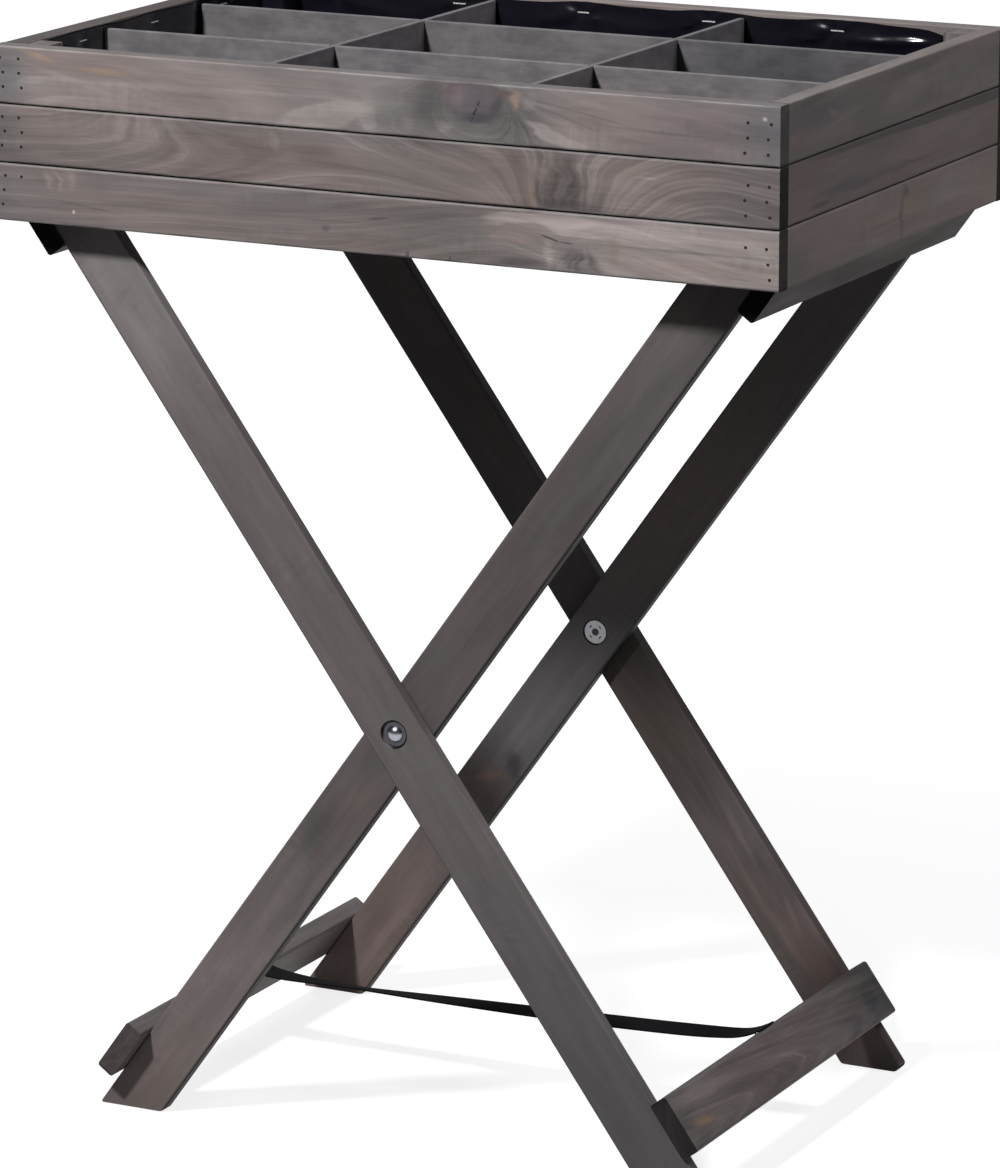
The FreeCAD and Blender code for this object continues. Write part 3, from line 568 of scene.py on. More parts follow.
def make_strap():
    """Strap: a flat oval section carried along its line and turned by its twist.

    At angle a the section's point is (width / 2) * c across and (thickness / 2) * s out, where c and s are
    the cosine and sine of a, each drawn out to a rounded oblong by a power below 1.
    """
    line = strap_line()
    run = np.gradient(line, axis=0)
    run /= np.linalg.norm(run, axis=1, keepdims=True)
    twist = np.radians(np.interp(line[:, 0], STRAP_TWIST_X, STRAP_TWIST))
    kernel = np.hanning(STRAP_TWIST_BLUR) / np.hanning(STRAP_TWIST_BLUR).sum()
    twist = np.convolve(np.pad(twist, STRAP_TWIST_BLUR // 2, mode="edge"), kernel, mode="valid")
    flat = np.broadcast_to(np.array([0.0, 1.0, 0.0]), line.shape)
    out = np.cross(run, flat)
    across = flat * np.cos(twist)[:, None] + out * np.sin(twist)[:, None]
    out = np.cross(run, across)
    angle = np.linspace(0.0, 2 * math.pi, STRAP_SIDES, endpoint=False)
    c, s = (np.sign(part) * np.abs(part) ** STRAP_ROUNDING for part in (np.cos(angle), np.sin(angle)))
    points = (line[:, None] + across[:, None] * (c * STRAP_WIDTH / 2)[None, :, None]
              + out[:, None] * (s * STRAP_THICKNESS / 2)[None, :, None])
    steps = np.linalg.norm(np.diff(line, axis=0), axis=1)
    along = np.concatenate([[0.0], np.cumsum(steps)])
    uv = np.stack(np.broadcast_arrays(along[:, None], (c * STRAP_WIDTH / 2)[None, :]), axis=-1)
    strap = grid_mesh("strap", points, wrap=True, uv=uv, cap=True)
    strap.data.materials.append(webbing())
    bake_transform(strap)
    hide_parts("spread_strap")


def film_outline():
    """Liner's outline, seen from above, as points a step apart with softened corners."""
    high = np.array(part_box("liner")[1])
    post_high = np.array(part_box("corner_post_front_left")[1])
    wall_x, wall_y = high[0] - FILM_WALL_GAP, high[1] - FILM_WALL_GAP
    post_x, post_y = -post_high[0] - FILM_POST_GAP, -post_high[1] - FILM_POST_GAP
    quarter = [(post_x, -wall_y), (post_x, -post_y), (wall_x, -post_y)]
    turned = quarter + [(x, -y) for x, y in quarter[::-1]]
    corners = np.array(turned + [(-x, y) for x, y in turned[::-1]])
    sides = np.roll(corners, -1, axis=0) - corners
    lengths = np.linalg.norm(sides, axis=1)
    ends = np.concatenate([[0.0], np.cumsum(lengths)])
    count = int(ends[-1] / FILM_STEP)
    at = np.linspace(0.0, ends[-1], count, endpoint=False)
    loop = np.concatenate([corners, corners[:1]])
    outline = np.stack([np.interp(at, ends, loop[:, 0]), np.interp(at, ends, loop[:, 1])], axis=1)
    return (np.roll(outline, 1, axis=0) + 2 * outline + np.roll(outline, -1, axis=0)) / 4


def wave(values, seed):
    """Smooth waver between -1 and 1: a sum of sines whose periods share no whole ratio."""
    result = np.zeros_like(values)
    for k, rate in enumerate((41.0, 67.3, 113.9, 23.7)):
        result += np.sin(rate * values + seed * (k + 1.3)) / 4
    return result


def staple_gaps(outline, at):
    """Each point's hump, 0 at a staple and 1 midway between two, and its way from the nearer staple."""
    long_wall = STAPLE_SHIFT + (np.arange(STAPLES_LONG) - (STAPLES_LONG - 1) / 2) * STAPLE_PITCH
    short_wall = (np.arange(STAPLES_SHORT) - (STAPLES_SHORT - 1) / 2) * STAPLE_PITCH
    wall_x, wall_y = np.abs(outline).max(axis=0)
    staples = [(x, y) for y in (-wall_y, wall_y) for x in long_wall]
    staples += [(x, y) for x in (-wall_x, wall_x) for y in short_wall]
    apart = np.linalg.norm(outline[None] - np.array(staples)[:, None], axis=2)
    held = np.sort(at[np.argmin(apart, axis=1)])
    length = len(outline) * FILM_STEP
    ring = np.concatenate([[held[-1] - length], held, [held[0] + length]])
    slot = np.searchsorted(ring, at, side="right") - 1
    gap = ring[slot + 1] - ring[slot]
    share = (at - ring[slot]) / gap
    hump = (1 - np.cos(2 * math.pi * share)) / 2
    nearer = np.where(share < 0.5, at - ring[slot], at - ring[slot + 1])
    return hump, nearer


def film_relief(outline, at, hump, nearer, left_wall, z, depth):
    """How far the film stands off the wall at each height z and depth below its edge.

    It stands off by the hump, fading with depth, by creases that fan out from each staple,
    cos(5 * angle) * exp(-r / reach), and by a fold that sags from staple to staple, a bell of the height
    above its own line. Each dent on the back wall is a bell
    exp(-((x - x0) / length) ** 2 - ((z - z0) / height) ** 2) towards the inside. Staples press the film
    to the wall, and it lies flatter beside the dividers.
    """
    clear = np.ones_like(at)
    for wall, spots in ((0, (-DIVIDER_X, DIVIDER_X)), (1, (-DIVIDER_Y, DIVIDER_Y))):
        for place in spots:
            clear *= 1 - DIVIDER_PRESS * np.exp(-((outline[:, wall] - place) / DIVIDER_PRESS_WIDTH) ** 2)
    below = z - STAPLE_HEIGHT
    radius = np.hypot(nearer[None], below)
    fan = np.arctan2(below, nearer[None])
    press = np.exp(-(radius / PRESS_RADIUS) ** 2)
    crease = CREASE_DEPTH * np.cos(5 * fan + 1.1 * wave(at * 3, 2.0)[None]) * np.exp(-radius / CREASE_REACH)
    crease *= radius / (radius + CREASE_CORE) * np.where(left_wall, CREASE_LEFT_SHARE, 1.0)[None]
    stand = STAND_DEPTH * hump[None] * np.exp(-depth / STAND_FADE)
    ripple_depth = np.where(left_wall, RIPPLE_LEFT_DEPTH, RIPPLE_DEPTH)
    ripple = ripple_depth * wave(at, 5.1)[None] * np.exp(-depth / RIPPLE_FADE)
    ridge = STAPLE_HEIGHT - FOLD_DROP - FOLD_SAG * hump
    bell = np.exp(-((z - ridge[None]) / FOLD_HEIGHT) ** 2)
    fold = FOLD_DEPTH * (0.45 + 0.55 * wave(at * 0.5, 3.3))[None] * bell
    back_wall = outline[:, 1] > np.abs(outline[:, 1]).max() - WALL_BAND
    for dent_x, dent_z, dent_length, dent_height, dent_depth in FILM_DENTS:
        reach = ((outline[:, 0] * 1000 - dent_x) / dent_length) ** 2
        rise = ((z * 1000 - dent_z) / dent_height) ** 2
        fold += back_wall[None] * dent_depth / 1000 * np.exp(-reach[None] - rise)
    loose = (stand + crease + ripple + fold) * clear[None] * (1 - press)
    return np.clip(loose - PRESS_DEPTH * press, -PRESS_DEPTH, RELIEF_LIMIT)


def make_liner():
    """Liner: film hung from its staples, down the walls and over the floor.

    A point is given by its place round the outline and its depth below the film's edge. Between two
    staples the edge dips by a raised cosine of the share of the gap, and it is pulled down at the two
    corners on the right. The film then stands off the wall by its relief.
    """
    outline = film_outline()
    side = np.roll(outline, -1, axis=0) - np.roll(outline, 1, axis=0)
    side /= np.linalg.norm(side, axis=1, keepdims=True)
    inward = np.stack([-side[:, 1], side[:, 0]], axis=1)
    at = np.arange(len(outline)) * FILM_STEP
    hump, nearer = staple_gaps(outline, at)

    left_wall = outline[:, 0] < LEFT_BAND - np.abs(outline[:, 0]).max()
    dip = np.where(left_wall, FILM_LEFT_DIP, FILM_DIP + FILM_DIP_WAVER * wave(at, 0.4))
    edge = RIM - FILM_DROP - hump * dip
    pull = np.exp(-((outline[:, 0] - FILM_REAR_PULL_X) / FILM_REAR_PULL_WIDTH) ** 2)
    edge -= FILM_REAR_PULL * pull * (outline[:, 1] > FILM_REAR_Y)
    edge -= FILM_POST_PULL * (outline[:, 0] > FILM_POST_X) * (outline[:, 1] < FILM_POST_Y)

    z = edge[None] + (FILM_FLOOR + FILM_TURN_HEIGHT - edge)[None] * FILM_WALL_ROWS[:, None]
    off = film_relief(outline, at, hump, nearer, left_wall, z, edge[None] - z)
    off[-1] += FILM_TURN_OFF
    walls = np.empty((*z.shape, 3))
    walls[..., :2] = outline[None] + inward[None] * off[..., None]
    walls[..., 2] = z

    floor = np.empty((len(FILM_FLOOR_ROWS), len(outline), 3))
    floor[..., :2] = outline[None] * FILM_FLOOR_ROWS[:, None, None]
    floor[..., 2] = FILM_FLOOR
    points = np.concatenate([walls, floor])[:, ::-1]
    liner = grid_mesh("liner_film", points, wrap=True)
    close_middle(liner.data, points.shape)
    matt = np.arange(len(liner.data.polygons)) < len(outline)
    skin = liner.modifiers.new("thickness", "SOLIDIFY")
    skin.thickness = FILM_THICKNESS
    skin.offset = 1.0
    skin.material_offset_rim = 1
    liner.data.materials.append(film_plastic())
    liner.data.materials.append(film_edge())
    liner.data.polygons.foreach_set("material_index", matt.astype(np.int32))
    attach(liner, "planter")
    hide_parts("liner")


def close_middle(mesh, shape):
    """Joins the last row of a wrapped grid to one point in its middle."""
    rows, columns = shape[:2]
    last = np.arange((rows - 1) * columns, rows * columns)
    points = np.empty(len(mesh.vertices) * 3)
    mesh.vertices.foreach_get("co", points)
    points = points.reshape(-1, 3)
    middle = points[last].mean(axis=0)
    faces = [list(face.vertices) for face in mesh.polygons]
    fan = np.stack([last, np.roll(last, -1), np.full(columns, len(points))], axis=1)
    mesh.clear_geometry()
    mesh.from_pydata(np.vstack([points, middle]).tolist(), [], faces + fan.tolist())
    mesh.shade_smooth()


def dress_front():
    """Front boards: their knot, flares, streaks and rings are placed as on the real ones."""
    # rim=0.72 darkens the top board's rim: painted shade.
    stained_wood(
        "front_board_top", 1.0, tone=1.12, contrast=0.5, spacing=8.0, drift=4.0, warmth=0.95, rim=0.72,
        ends=0.60, heart=(0.05, -0.04),
        swells=(Swell(82, 10, 34, 26, -4.0), Swell(100, 6, 120, 40, -2.4), Swell(-245, -30, 90, 60, -2.6),
                Swell(-40, -40, 70, 44, 3.0)),
        fans=(Fan(116, -12, 22, 13, 15),),
        tints=(Tint(275, 0, 70, 30, ROSE, 0.65), Tint(185, 0, 45, 26, BLUSH, 0.60),
               Tint(-60, 19, 230, 4, COOL, 0.45), Tint(-150, -8, 90, 14, BLUSH, 0.45),
               Tint(-150, 0.5, 110, 2.0, PALE, 0.40, -1), Tint(-270, 3, 40, 2.0, PALE, 0.35, 14),
               Tint(-286, 15.8, 14, 2.2, ORANGE, 0.65, 12), Tint(-229, 8, 20, 2.4, ORANGE, 0.65, 4),
               Tint(-40, -11, 44, 9, PALE, 0.75, -12, 0.18), Tint(-5, -10, 9, 9, PALE, 0.60, 20, 0.20),
               Tint(14, -2, 20, 20, MOSS, 0.60), Tint(28, -13, 5, 6, PALE, 0.45),
               Tint(-325, 0, 28, 30, SLATE, 0.85), Tint(325, 4, 34, 26, SLATE, 0.85),
               Tint(82, -2, 58, 26, SMOKE_AND_SHADOW, 0.65), Tint(116, -6, 24, 22, SMOKE_AND_SHADOW, 0.45),
               Tint(149, -13, 27, 4.8, PALE, 0.70, 23, 0.30), Tint(165, 6.5, 42, 0.9, SMOKE_AND_SHADOW, 0.40, 10),
               Tint(150, 3, 30, 0.8, SMOKE_AND_SHADOW, 0.35, 17), Tint(225, -3.5, 50, 1.0, SMOKE_AND_SHADOW, 0.35, 2),
               Tint(140, 8.5, 12, 1.2, PALE, 0.35, 8), Tint(127, 12, 5, 6, PALE, 0.30, 20),
               Tint(46, 3, 13, 17, SMOKE_AND_SHADOW, 0.90, 4), Tint(60, -12, 6, 3, PALE, 0.35),
               Tint(81, 12, 24.0, 20.0, KNOT, 0.95, edge=0.10, firm=True),
               Tint(67, 13, 9, 10, ROSE, 0.55, firm=True),
               Tint(84, -4.5, 13, 4.0, SOOT, 0.75, -3, firm=True),
               Tint(100, 5, 4.5, 12, SOOT, 0.70, 30, firm=True), Tint(107, 15.5, 9, 3.4, HUSK, 0.85),
               Tint(66, -1, 3, 9, SMOKE_AND_SHADOW, 0.60, -42, firm=True), Tint(116, 11, 3.5, 6.5, RUST, 0.75, 10),
               Tint(313, 12, 1.8, 1.5, SAND, 0.90, 20), Tint(85.6, 6.8, 0.6, 2.4, CRACK, 0.95, 21, 0.2),
               Tint(83.2, 1.5, 0.6, 2.4, CRACK, 0.95, 29, 0.2),
               Tint(81.9, -1, 1.3, 1.2, CRACK, 0.90, edge=0.1),
               Tint(80.4, -5, 0.5, 2.4, CRACK, 0.70, 20, 0.2)))
    stained_wood(
        "front_board_middle", 2.0, tone=0.86, contrast=1.1, spacing=3.8, warmth=0.6, ends=0.03,
        heart=(0.06, 0.05),
        swells=(Swell(-10, 0, 160, 200, 8.0), Swell(-150, 42, 58, 34, 9.0), Swell(-60, 42, 70, 34, 5.0),
                Swell(152, -38, 34, 52, -13.0), Swell(262, -20, 62, 60, 9.0), Swell(350, -20, 70, 60, 7.0)),
        fans=(Fan(154, -2, 28, 22, -36),),
        tints=(Tint(-200, 0, 150, 34, FAWN, 0.38), Tint(40, -2, 52, 20, MOSS, 0.45),
               Tint(-205, 6, 70, 20, PALE, 0.25), Tint(106, 8, 24, 15, BLUSH, 0.85),
               Tint(230, 12, 60, 8, BLUSH, 0.75, 2), Tint(205, -6, 40, 14, PALE, 0.45),
               Tint(300, 0, 40, 26, SLATE, 0.40), Tint(60, 0, 46, 22, UMBER, 0.55),
               Tint(152, -6, 20, 17, SMOKE_AND_SHADOW, 0.45, edge=0.34), Tint(163, -19, 28, 6, SOOT, 0.55),
               Tint(146, 13, 3.4, 9, PALE, 0.50, -6), Tint(178, 14, 14, 5, PALE, 0.70, -22, 0.25),
               Tint(131, -13, 4, 9, RUST, 0.65, -30), Tint(222, 7.5, 8, 0.9, WORN, 0.70),
               Tint(-325, 8, 22, 24, SLATE, 0.60), Tint(-214, 11, 6, 11, PALE, 0.50, 26, 0.28),
               Tint(-182, 12, 5, 8, PALE, 0.45, 20, 0.28), Tint(-83, 12, 4, 8, PALE, 0.40, -24, 0.28)))
    stained_wood(
        "front_board_bottom", 3.0, contrast=0.9, spacing=5.6, drift=2.0, warmth=0.8, ends=0.14,
        heart=(0.05, 0.06),
        swells=(Swell(120, -50, 120, 66, 11.0), Swell(-180, -30, 130, 26, 2.5), Swell(150, -2, 26, 18, -3.2)),
        fans=(Fan(166, -13, 20, 9, 18),),
        tints=(Tint(-210, 0, 120, 34, FAWN, 0.55), Tint(0, 0, 150, 34, UMBER, 0.70),
               Tint(60, -2, 46, 22, MOSS, 0.45), Tint(-150, 14, 175, 6, SLATE, 0.30),
               Tint(-120, -1, 130, 0.9, SMOKE_AND_SHADOW, 0.35, -1), Tint(-245, -6, 34, 0.8, SMOKE_AND_SHADOW, 0.35, 7),
               Tint(-265, 14, 16, 9, BLUSH, 0.45), Tint(255, 2, 125, 34, SAND, 0.66),
               Tint(245, 12, 110, 7, SAND, 0.75), Tint(140, 15, 46, 5, SAND, 0.80, -3, 0.25),
               Tint(160, 8, 26, 3, SAND, 0.70, 8, 0.25), Tint(262, -10, 62, 8, CLAY, 0.75),
               Tint(258, 1, 66, 1.1, SMOKE_AND_SHADOW, 0.35), Tint(118, 3, 22, 7, BLUSH, 0.70, -8, 0.3),
               Tint(142, -9, 3.5, 10, SAND, 0.60, 4), Tint(196, -2, 6, 10, RUST, 0.45),
               Tint(168, -13, 18, 9, SMOKE_AND_SHADOW, 0.55, 20, 0.3), Tint(144, 2.2, 8, 0.7, CRACK, 0.75, 16, 0.2),
               Tint(157, 0, 6, 0.6, CRACK, 0.55, 3, 0.2), Tint(118, -18, 18, 5, SMOKE_AND_SHADOW, 0.75),
               Tint(3, 5.5, 9, 0.8, CRACK, 0.45, -8, 0.2), Tint(27, -19, 1.6, 2.4, SOOT, 0.70, 24, 0.2),
               Tint(62, -20, 1.0, 2.4, SOOT, 0.70, 20, 0.2), Tint(-320, 0, 18, 24, SLATE, 0.40),
               Tint(-257, -10.7, 1.2, 1.8, RESIN, 0.75, edge=0.1), Tint(-41, -5.5, 3.4, 2.4, SMOKE_AND_SHADOW, 0.70),
               Tint(-279, 13, 2.6, 8, SAND, 0.30, 2), Tint(-270, 13, 1.8, 8, SAND, 0.30, 2),
               Tint(-259, 13, 3.2, 7, SAND, 0.25, 2),
               *(Tint(x, 12, 1.1, 5, WORN, 0.45) for x in (186, 192, 199, 207, 214, 222))))


def dress_box():
    dress_front()
    for k, row in enumerate(("bottom", "middle", "top")):
        stained_wood(
            f"back_board_{row}", 11.0 + k, contrast=0.9, spacing=6.0 + k, drift=6.0 - 5 * k, wear=0.3,
            heart=(-0.05, 0.03 - 0.03 * k),
            swells=(Swell(-160 + 130 * k, 6 - 9 * k, 60, 24, 3.4 - 2.6 * k),),
            tints=(Tint(-160 + 130 * k, 6 - 9 * k, 10, 8, SMOKE_AND_SHADOW, 0.55, edge=0.14),))
        # rim=0.50 darkens the left boards' rims: painted shade.
        stained_wood(
            f"left_board_{row}", 21.0 + k, tone=0.85, contrast=0.7, spacing=7.5, drift=8.0 - 6 * k,
            warmth=0.45, wear=0.3, rim=0.50, heart=(0.05, 0.02 * (k - 1)),
            swells=(Swell(90 - 70 * k, 4, 70, 26, 2.0 - 1.6 * k),),
            tints=(Tint(90 - 70 * k, 2, 40, 12, SLATE, 0.4),))
    stained_wood(
        "right_board_top", 33.0, tone=1.02, contrast=0.5, spacing=8.0, drift=5.0, wear=0.2, gloss=0.12,
        heart=(0.05, 0.03),
        tints=(Tint(-150, 8, 60, 12, SLATE, 0.60), Tint(-140, -10, 80, 7, BLUSH, 0.60, 3),
               Tint(-122, 4, 12, 3, BLUSH, 0.70, 20), Tint(20, 0, 40, 9, PALE, 0.45),
               Tint(-50, -2, 30, 18, MOSS, 0.50), Tint(40, 16, 70, 6, SLATE, 0.50),
               Tint(120, 0, 60, 12, PALE, 0.40)))
    stained_wood(
        "right_board_middle", 32.0, tone=0.93, contrast=0.5, spacing=8.0, drift=3.0, wear=0.2, gloss=0.12,
        heart=(0.05, -0.03),
        # The long dark band along its upper edge is painted shadow of the top board above it.
        tints=(Tint(200, 22, 380, 8.0, SMOKE_AND_SHADOW, 0.75, edge=0.14, firm=True),
               Tint(-90, -9, 60, 5, LILAC, 0.80), Tint(-142, -15, 18, 2.2, SOOT, 0.50),
               Tint(20, -11, 60, 3, SMOKE_AND_SHADOW, 0.35), Tint(-60, 8, 90, 8, COOL, 0.50),
               Tint(120, 2, 60, 12, PALE, 0.35)))
    stained_wood(
        "right_board_bottom", 31.0, tone=1.23, contrast=0.5, spacing=8.0, drift=-4.0, wear=0.2, gloss=0.12,
        heart=(0.05, 0.02),
        tints=(Tint(-135, 0, 30, 14, BLUSH, 0.60), Tint(-40, 8, 70, 9, BLUSH, 0.60),
               Tint(24, 6, 10, 10, RUST, 0.50, 12), Tint(9, 0, 3.4, 24, SMOKE_AND_SHADOW, 0.50, 10),
               Tint(17, 15, 5, 4, SMOKE_AND_SHADOW, 0.60), Tint(-20, -4, 40, 1.2, SMOKE_AND_SHADOW, 0.30, -1),
               Tint(-180, -8, 20, 12, MOSS, 0.50), Tint(110, 4, 60, 14, PALE, 0.45)))
    for k in range(7):
        stained_wood(f"floor_slat_{k + 1}", 41.0 + k, tone=0.85, spacing=6.0, drift=4.0 - 2 * k)
    for k, hand in enumerate(("left", "right")):
        stained_wood(f"floor_bearer_{hand}", 51.0 + k, tone=0.85, spacing=6.0)
        for depth in ("front", "back"):
            stained_wood(f"corner_post_{depth}_{hand}", 55.0 + k, spacing=5.0, ends=0.75)


def dress_dividers():
    # rim=1.10 lightens the dividers' top edges: painted light.
    grid = {"stain": DIVIDER_STAIN, "contrast": 0.3, "spacing": 12.0, "drift": 14.0, "wear": 0.05,
            "rim": 1.10, "flow": 38.0, "cloud": 0.20}
    stained_wood(
        "cross_divider_front", 61.0, tone=0.88, **grid,
        tints=(Tint(190, 0, 90, 70, PALE, 0.24), Tint(60, 4, 16, 12, SMOKE_AND_SHADOW, 0.22),
               Tint(-30, -4, 40, 12, PALE, 0.20)))
    stained_wood(
        "cross_divider_back", 62.0, tone=0.80, **grid,
        # The broad dark tint over its right part is painted shade.
        tints=(Tint(205, 0, 105, 70, HAZE_AND_SHADE, 1.00), Tint(262, 6, 34, 40, PALE, 0.22),
               Tint(-205, 0, 100, 70, PALE, 0.26), Tint(-20, 0, 40, 10, PALE, 0.22),
               Tint(126, 14, 7, 14, SOOT, 0.45)))
    stained_wood("depth_divider_left", 65.0, tone=0.85, **grid)
    stained_wood("depth_divider_right", 66.0, tone=0.85, **grid)


def dress_stand():
    """Legs are counted down the slope from the pivot on the outer frame, up it on the inner frame."""
    # The near black tint at the top end of each leg is painted shadow of the box above it.
    stained_wood(
        "outer_leg_front", 71.0, STAND_STAIN, tone=0.77, contrast=0.15, spacing=9.0, warmth=0.25, wear=0.1,
        # side=1.45: painted light on the leg's upper edge.
        side=1.45,
        tints=(Tint(-390, 4, 90, 30, WORN, 0.55), Tint(-230, -4, 60, 14, MOSS, 0.30),
               Tint(120, 4, 40, 16, BLUSH, 0.20), Tint(148, -2, 24, 14, SLATE, 0.50),
               Tint(190, -3, 26, 12, SLATE, 0.30), Tint(178, -6, 7, 1.6, SMOKE_AND_SHADOW, 0.35, -60),
               Tint(214, 8, 9, 2.0, SMOKE_AND_SHADOW, 0.30, -30), Tint(310, 0, 190, 50, LILAC, 0.55),
               Tint(410, 0, 170, 60, SLATE, 0.55), Tint(-472, 0, 30, 60, PAINTED_BOX_SHADOW, 0.80)))
    stained_wood(
        "inner_leg_front", 73.0, STAND_STAIN, tone=0.64, contrast=0.25, spacing=9.0, warmth=0.4, wear=0.1,
        gloss=0.22,
        tints=(Tint(-320, 0, 200, 50, SAND, 0.66), Tint(-370, -6, 80, 24, CLAY, 0.60),
               Tint(-425, 0, 60, 60, BLUSH, 0.55), Tint(-76, -4, 36, 16, BLUSH, 0.70),
               Tint(-114, 8, 26, 10, SLATE, 0.55), Tint(-128, -2, 5, 4, RUST, 0.45),
               Tint(-36, 4, 20, 14, SLATE, 0.30), Tint(190, 0, 120, 40, UMBER, 0.50),
               Tint(454, 0, 38, 60, PAINTED_BOX_SHADOW, 0.97), Tint(300, -2, 120, 16, MOSS, 0.50),
               Tint(380, 10, 60, 10, PALE, 0.30), Tint(-190, -12, 30, 6, SMOKE_AND_SHADOW, 0.30)))
    stained_wood(
        "outer_leg_back", 72.0, STAND_STAIN, tone=0.67, contrast=0.6, spacing=7.0, drift=5.0, warmth=0.6,
        # side=0.80: painted shade on the leg's upper edge.
        wear=0.1, gloss=0.13, side=0.80,
        tints=(Tint(195, 9, 24, 3, PALE, 0.85, 4), Tint(150, 4, 30, 2, PALE, 0.50, 3),
               Tint(230, -6, 40, 2, ORANGE, 0.35, 3), Tint(345, 0, 90, 40, BRICK, 0.80),
               Tint(215, 0, 70, 40, BRICK, 0.30), Tint(228, 11, 14, 3.4, MOSS, 0.80, 8),
               Tint(278, 9, 16, 2.6, CLAY, 0.60, 6), Tint(80, 0, 90, 40, HUSK, 0.75),
               Tint(330, -15, 70, 9, MOSS, 0.60), Tint(440, -6, 40, 24, MOSS, 0.65),
               Tint(372, 6, 16, 1.6, CLAY, 0.60, -8), Tint(-270, 0, 220, 60, PAINTED_BOX_SHADOW, 0.45)))
    stained_wood(
        "inner_leg_back", 74.0, STAND_STAIN, tone=0.69, contrast=0.5, spacing=7.0, drift=-4.0, warmth=0.6,
        wear=0.1, gloss=0.27,
        tints=(Tint(-350, 0, 110, 40, BRICK, 0.85), Tint(-310, 2, 80, 26, CLAY, 0.30),
               Tint(-178, 0, 34, 30, BRICK, 0.45), Tint(-164, 0, 15, 3.4, ORANGE, 0.75, 42, firm=True),
               Tint(-142, -11, 8, 11, SOOT, 0.70, 30), Tint(140, 0, 90, 40, BRICK, 0.35),
               Tint(350, 0, 140, 60, PAINTED_BOX_SHADOW, 0.42)))
    stained_wood(
        "outer_stretcher", 81.0, STAND_STAIN, tone=0.76, contrast=1.2, spacing=3.0, drift=22.0, warmth=0.9,
        wear=0.2, ends=0.15,
        tints=(Tint(-30, 0, 170, 40, BRICK, 0.42), Tint(-140, -2, 50, 24, SAND, 0.45),
               Tint(-159, 7, 15, 4, AMBER, 0.95, -6, firm=True), Tint(-139, 12, 8, 1.4, CLAY, 0.45),
               Tint(-3, 1, 15, 1.5, CLAY, 0.55, -12), Tint(18, 8, 9, 1.6, CLAY, 0.60, -25),
               Tint(16, 14, 10, 1.6, CLAY, 0.50, 20), Tint(-20, 10, 13, 1.5, CLAY, 0.50, -26),
               Tint(-84, 1, 22, 1.2, CLAY, 0.45, -6), Tint(-151, -13, 24, 1.4, CLAY, 0.45, -13),
               Tint(120, 2, 30, 8, UMBER, 0.50), Tint(162, 6, 14, 10, HAZE_AND_SHADE, 0.80),
               Tint(190, 0, 18, 30, SLATE, 0.70)))
    # The top rails' end level of 0.03 makes their end grain near black: dark end grain, and painted shadow of
    # the box over their front ends.
    for k, (name, tone, ends) in enumerate((
            ("inner_stretcher", 0.86, 0.55), ("outer_top_rail", 0.50, 0.03), ("inner_top_rail", 0.50, 0.03))):
        stained_wood(
            name, 82.0 + k, STAND_STAIN, tone=tone, ends=ends, gloss=0.32 if k == 0 else 0.08, contrast=0.6,
            spacing=6.5, drift=7.0, wear=0.2,
            tints=(Tint(0, 0, 400, 80, ROSE if k else BLUSH, 0.80 if k else 0.60),),
            swells=(Swell(20, -4, 45, 15, 3.0), Swell(-120, 4, 40, 18, -2.0)))


def dress_fittings():
    bolt_end = min(abs(corner[1]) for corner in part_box("pivot_bolt_back"))
    polished = steel("polished_steel", (0.36, 0.37, 0.41), 0.26, 0.25, painted_shade_within=bolt_end + 0.006)
    # The washers' steel is set very dark: dark steel, and painted shade of the counterbores they sit in.
    washer = steel("washer_steel", (0.10, 0.10, 0.115), 0.45, 0.3)
    plated = steel("plated_steel", (0.34, 0.34, 0.365), 0.42, 0.45)
    wire = steel("staple_wire", (0.88, 0.88, 0.86), 0.30, 0.2, 0.35)
    dull = steel("nail_steel", (0.035, 0.032, 0.030), 0.55, 0.3)
    pins = dowel_wood()
    for name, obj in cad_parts.items():
        if "nails" in name or name.startswith("strap_staples"):
            dress(obj, dull)
        elif "staples" in name:
            dress(obj, wire)
        elif "dowels" in name:
            dress(obj, pins)
        elif name.startswith("pivot_bolt"):
            dress(obj, polished)
        elif name.startswith("pivot_head_washer"):
            dress(obj, washer)
        elif name.startswith("pivot_"):
            dress(obj, plated)


def floor_paint():
    """Pale ground: plain diffuse for bounced light; white, with the shadow kept, for the lens and gloss."""
    f = Finish("floor")
    rays = f.add("LightPath").outputs
    mirrored = f.math("MAXIMUM", rays["Is Glossy Ray"], rays["Is Transmission Ray"])
    seen = f.math("MAXIMUM", rays["Is Camera Ray"], mirrored)
    speck = f.grain(f.place, (3.0, 3.0, 3.0), 0.2)
    reach = f.length(f.place)
    bounce = f.fade(reach, *FLOOR_BOUNCE_RANGE, FLOOR_BOUNCE, FLOOR_FAR_BOUNCE)
    tone = f.total(f.times(speck, 0.02), f.fade(seen, 0.0, 1.0, bounce, FLOOR_SEEN))
    f.surface("Base Color", f.grey(tone))
    f.surface("Roughness", 0.9)
    f.surface("Specular IOR Level", 0.0)
    f.surface("Emission Color", (1.0, 1.0, 1.0, 1.0))
    glow = f.fade(reach, *FLOOR_GLOW_RANGE, FLOOR_GLOW, FLOOR_FAR_GLOW)
    f.surface("Emission Strength", f.times(seen, glow))
    return f.material


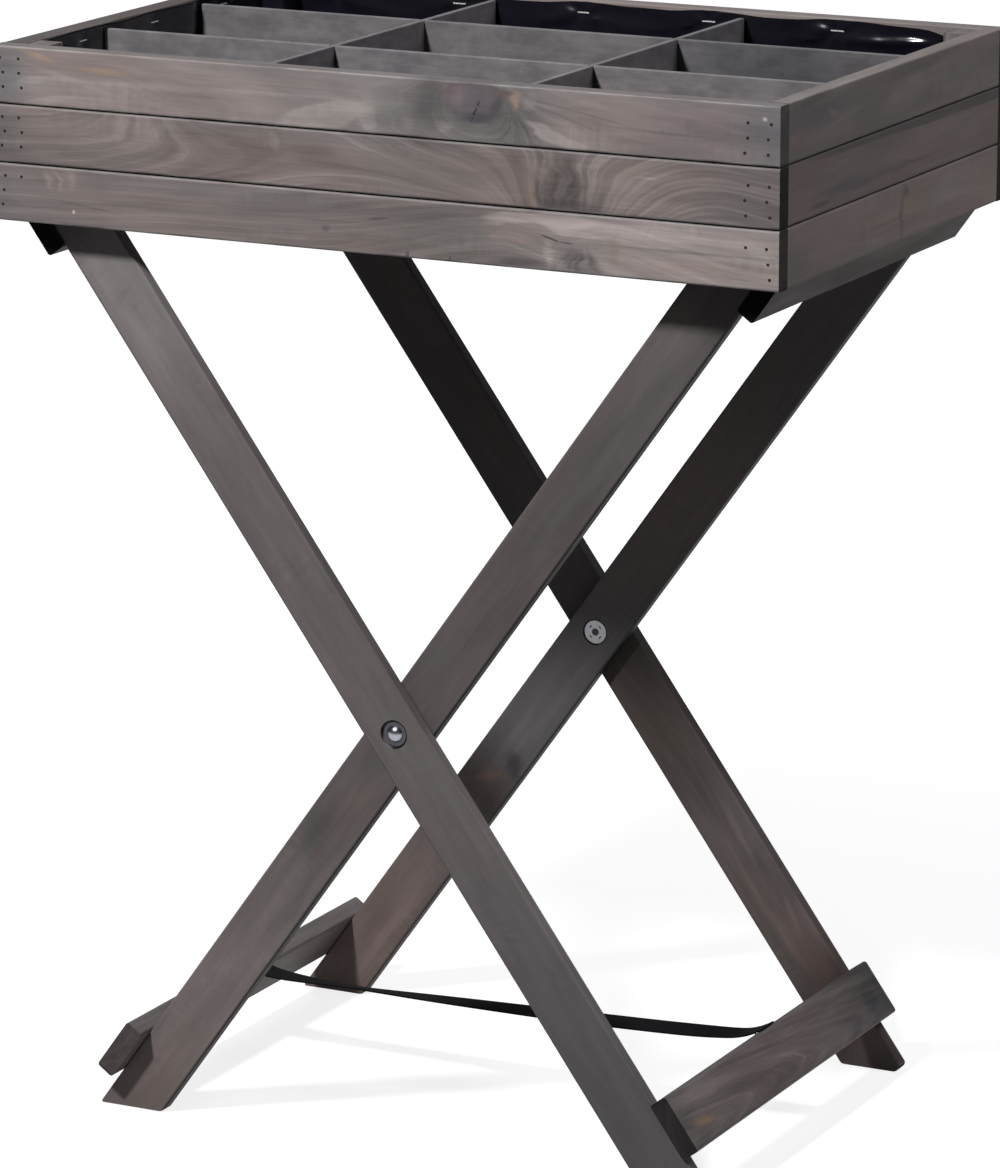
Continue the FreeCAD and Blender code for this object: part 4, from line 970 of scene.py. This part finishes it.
def make_stage():
    """Floor, sky and lamps."""
    ends = np.array([-FLOOR_REACH, FLOOR_REACH])
    x, y = np.meshgrid(ends, ends)
    points = np.stack([x, y, np.full_like(x, -FLOOR_SINK)], axis=-1)
    floor = grid_mesh("floor", points, wrap=False)
    floor.data.materials.append(floor_paint())

    world = bpy.data.worlds.new("studio")
    bpy.context.scene.world = world
    world.use_nodes = True
    nodes, links = world.node_tree.nodes, world.node_tree.links
    rays = nodes.new("ShaderNodeLightPath")
    seen = nodes.new("ShaderNodeMath")
    seen.operation = "MAXIMUM"
    links.new(rays.outputs["Is Camera Ray"], seen.inputs[0])
    links.new(rays.outputs["Is Transmission Ray"], seen.inputs[1])
    level = nodes.new("ShaderNodeMapRange")
    level.inputs["To Min"].default_value = SKY_STRENGTH
    level.inputs["To Max"].default_value = 1.0
    links.new(seen.outputs[0], level.inputs["Value"])
    links.new(level.outputs[0], nodes["Background"].inputs["Strength"])
    nodes["Background"].inputs["Color"].default_value = (1.0, 1.0, 1.0, 1.0)

    for name, place, size, power in LAMPS:
        make_lamp(name, place, size, power)


def make_lamp(name, place, size, power):
    light = bpy.data.lights.new(name, "AREA")
    light.shape = "DISK"
    light.size = size
    light.energy = power
    lamp = bpy.data.objects.new(name, light)
    lamp.location = place
    lamp.rotation_euler = (LAMP_TARGET - place).to_track_quat("-Z", "Y").to_euler()
    lamp.visible_camera = False
    bpy.context.scene.collection.objects.link(lamp)


def make_camera():
    camera = bpy.data.cameras.new("camera")
    camera.sensor_width = SENSOR
    camera.lens = SENSOR * CAMERA_FOCUS_PIXELS / IMAGE_HEIGHT
    camera.clip_end = CAMERA_CLIP_END
    obj = bpy.data.objects.new("camera", camera)
    obj.location = CAMERA_PLACE
    obj.rotation_euler = (math.radians(90.0 - CAMERA_PITCH), 0.0, math.radians(CAMERA_YAW))
    bpy.context.scene.collection.objects.link(obj)
    bpy.context.scene.camera = obj


bpy.context.scene.view_settings.view_transform = "Standard"
make_camera()
make_stage()
make_strap()
make_liner()
dress_box()
dress_dividers()
dress_stand()
dress_fittings()
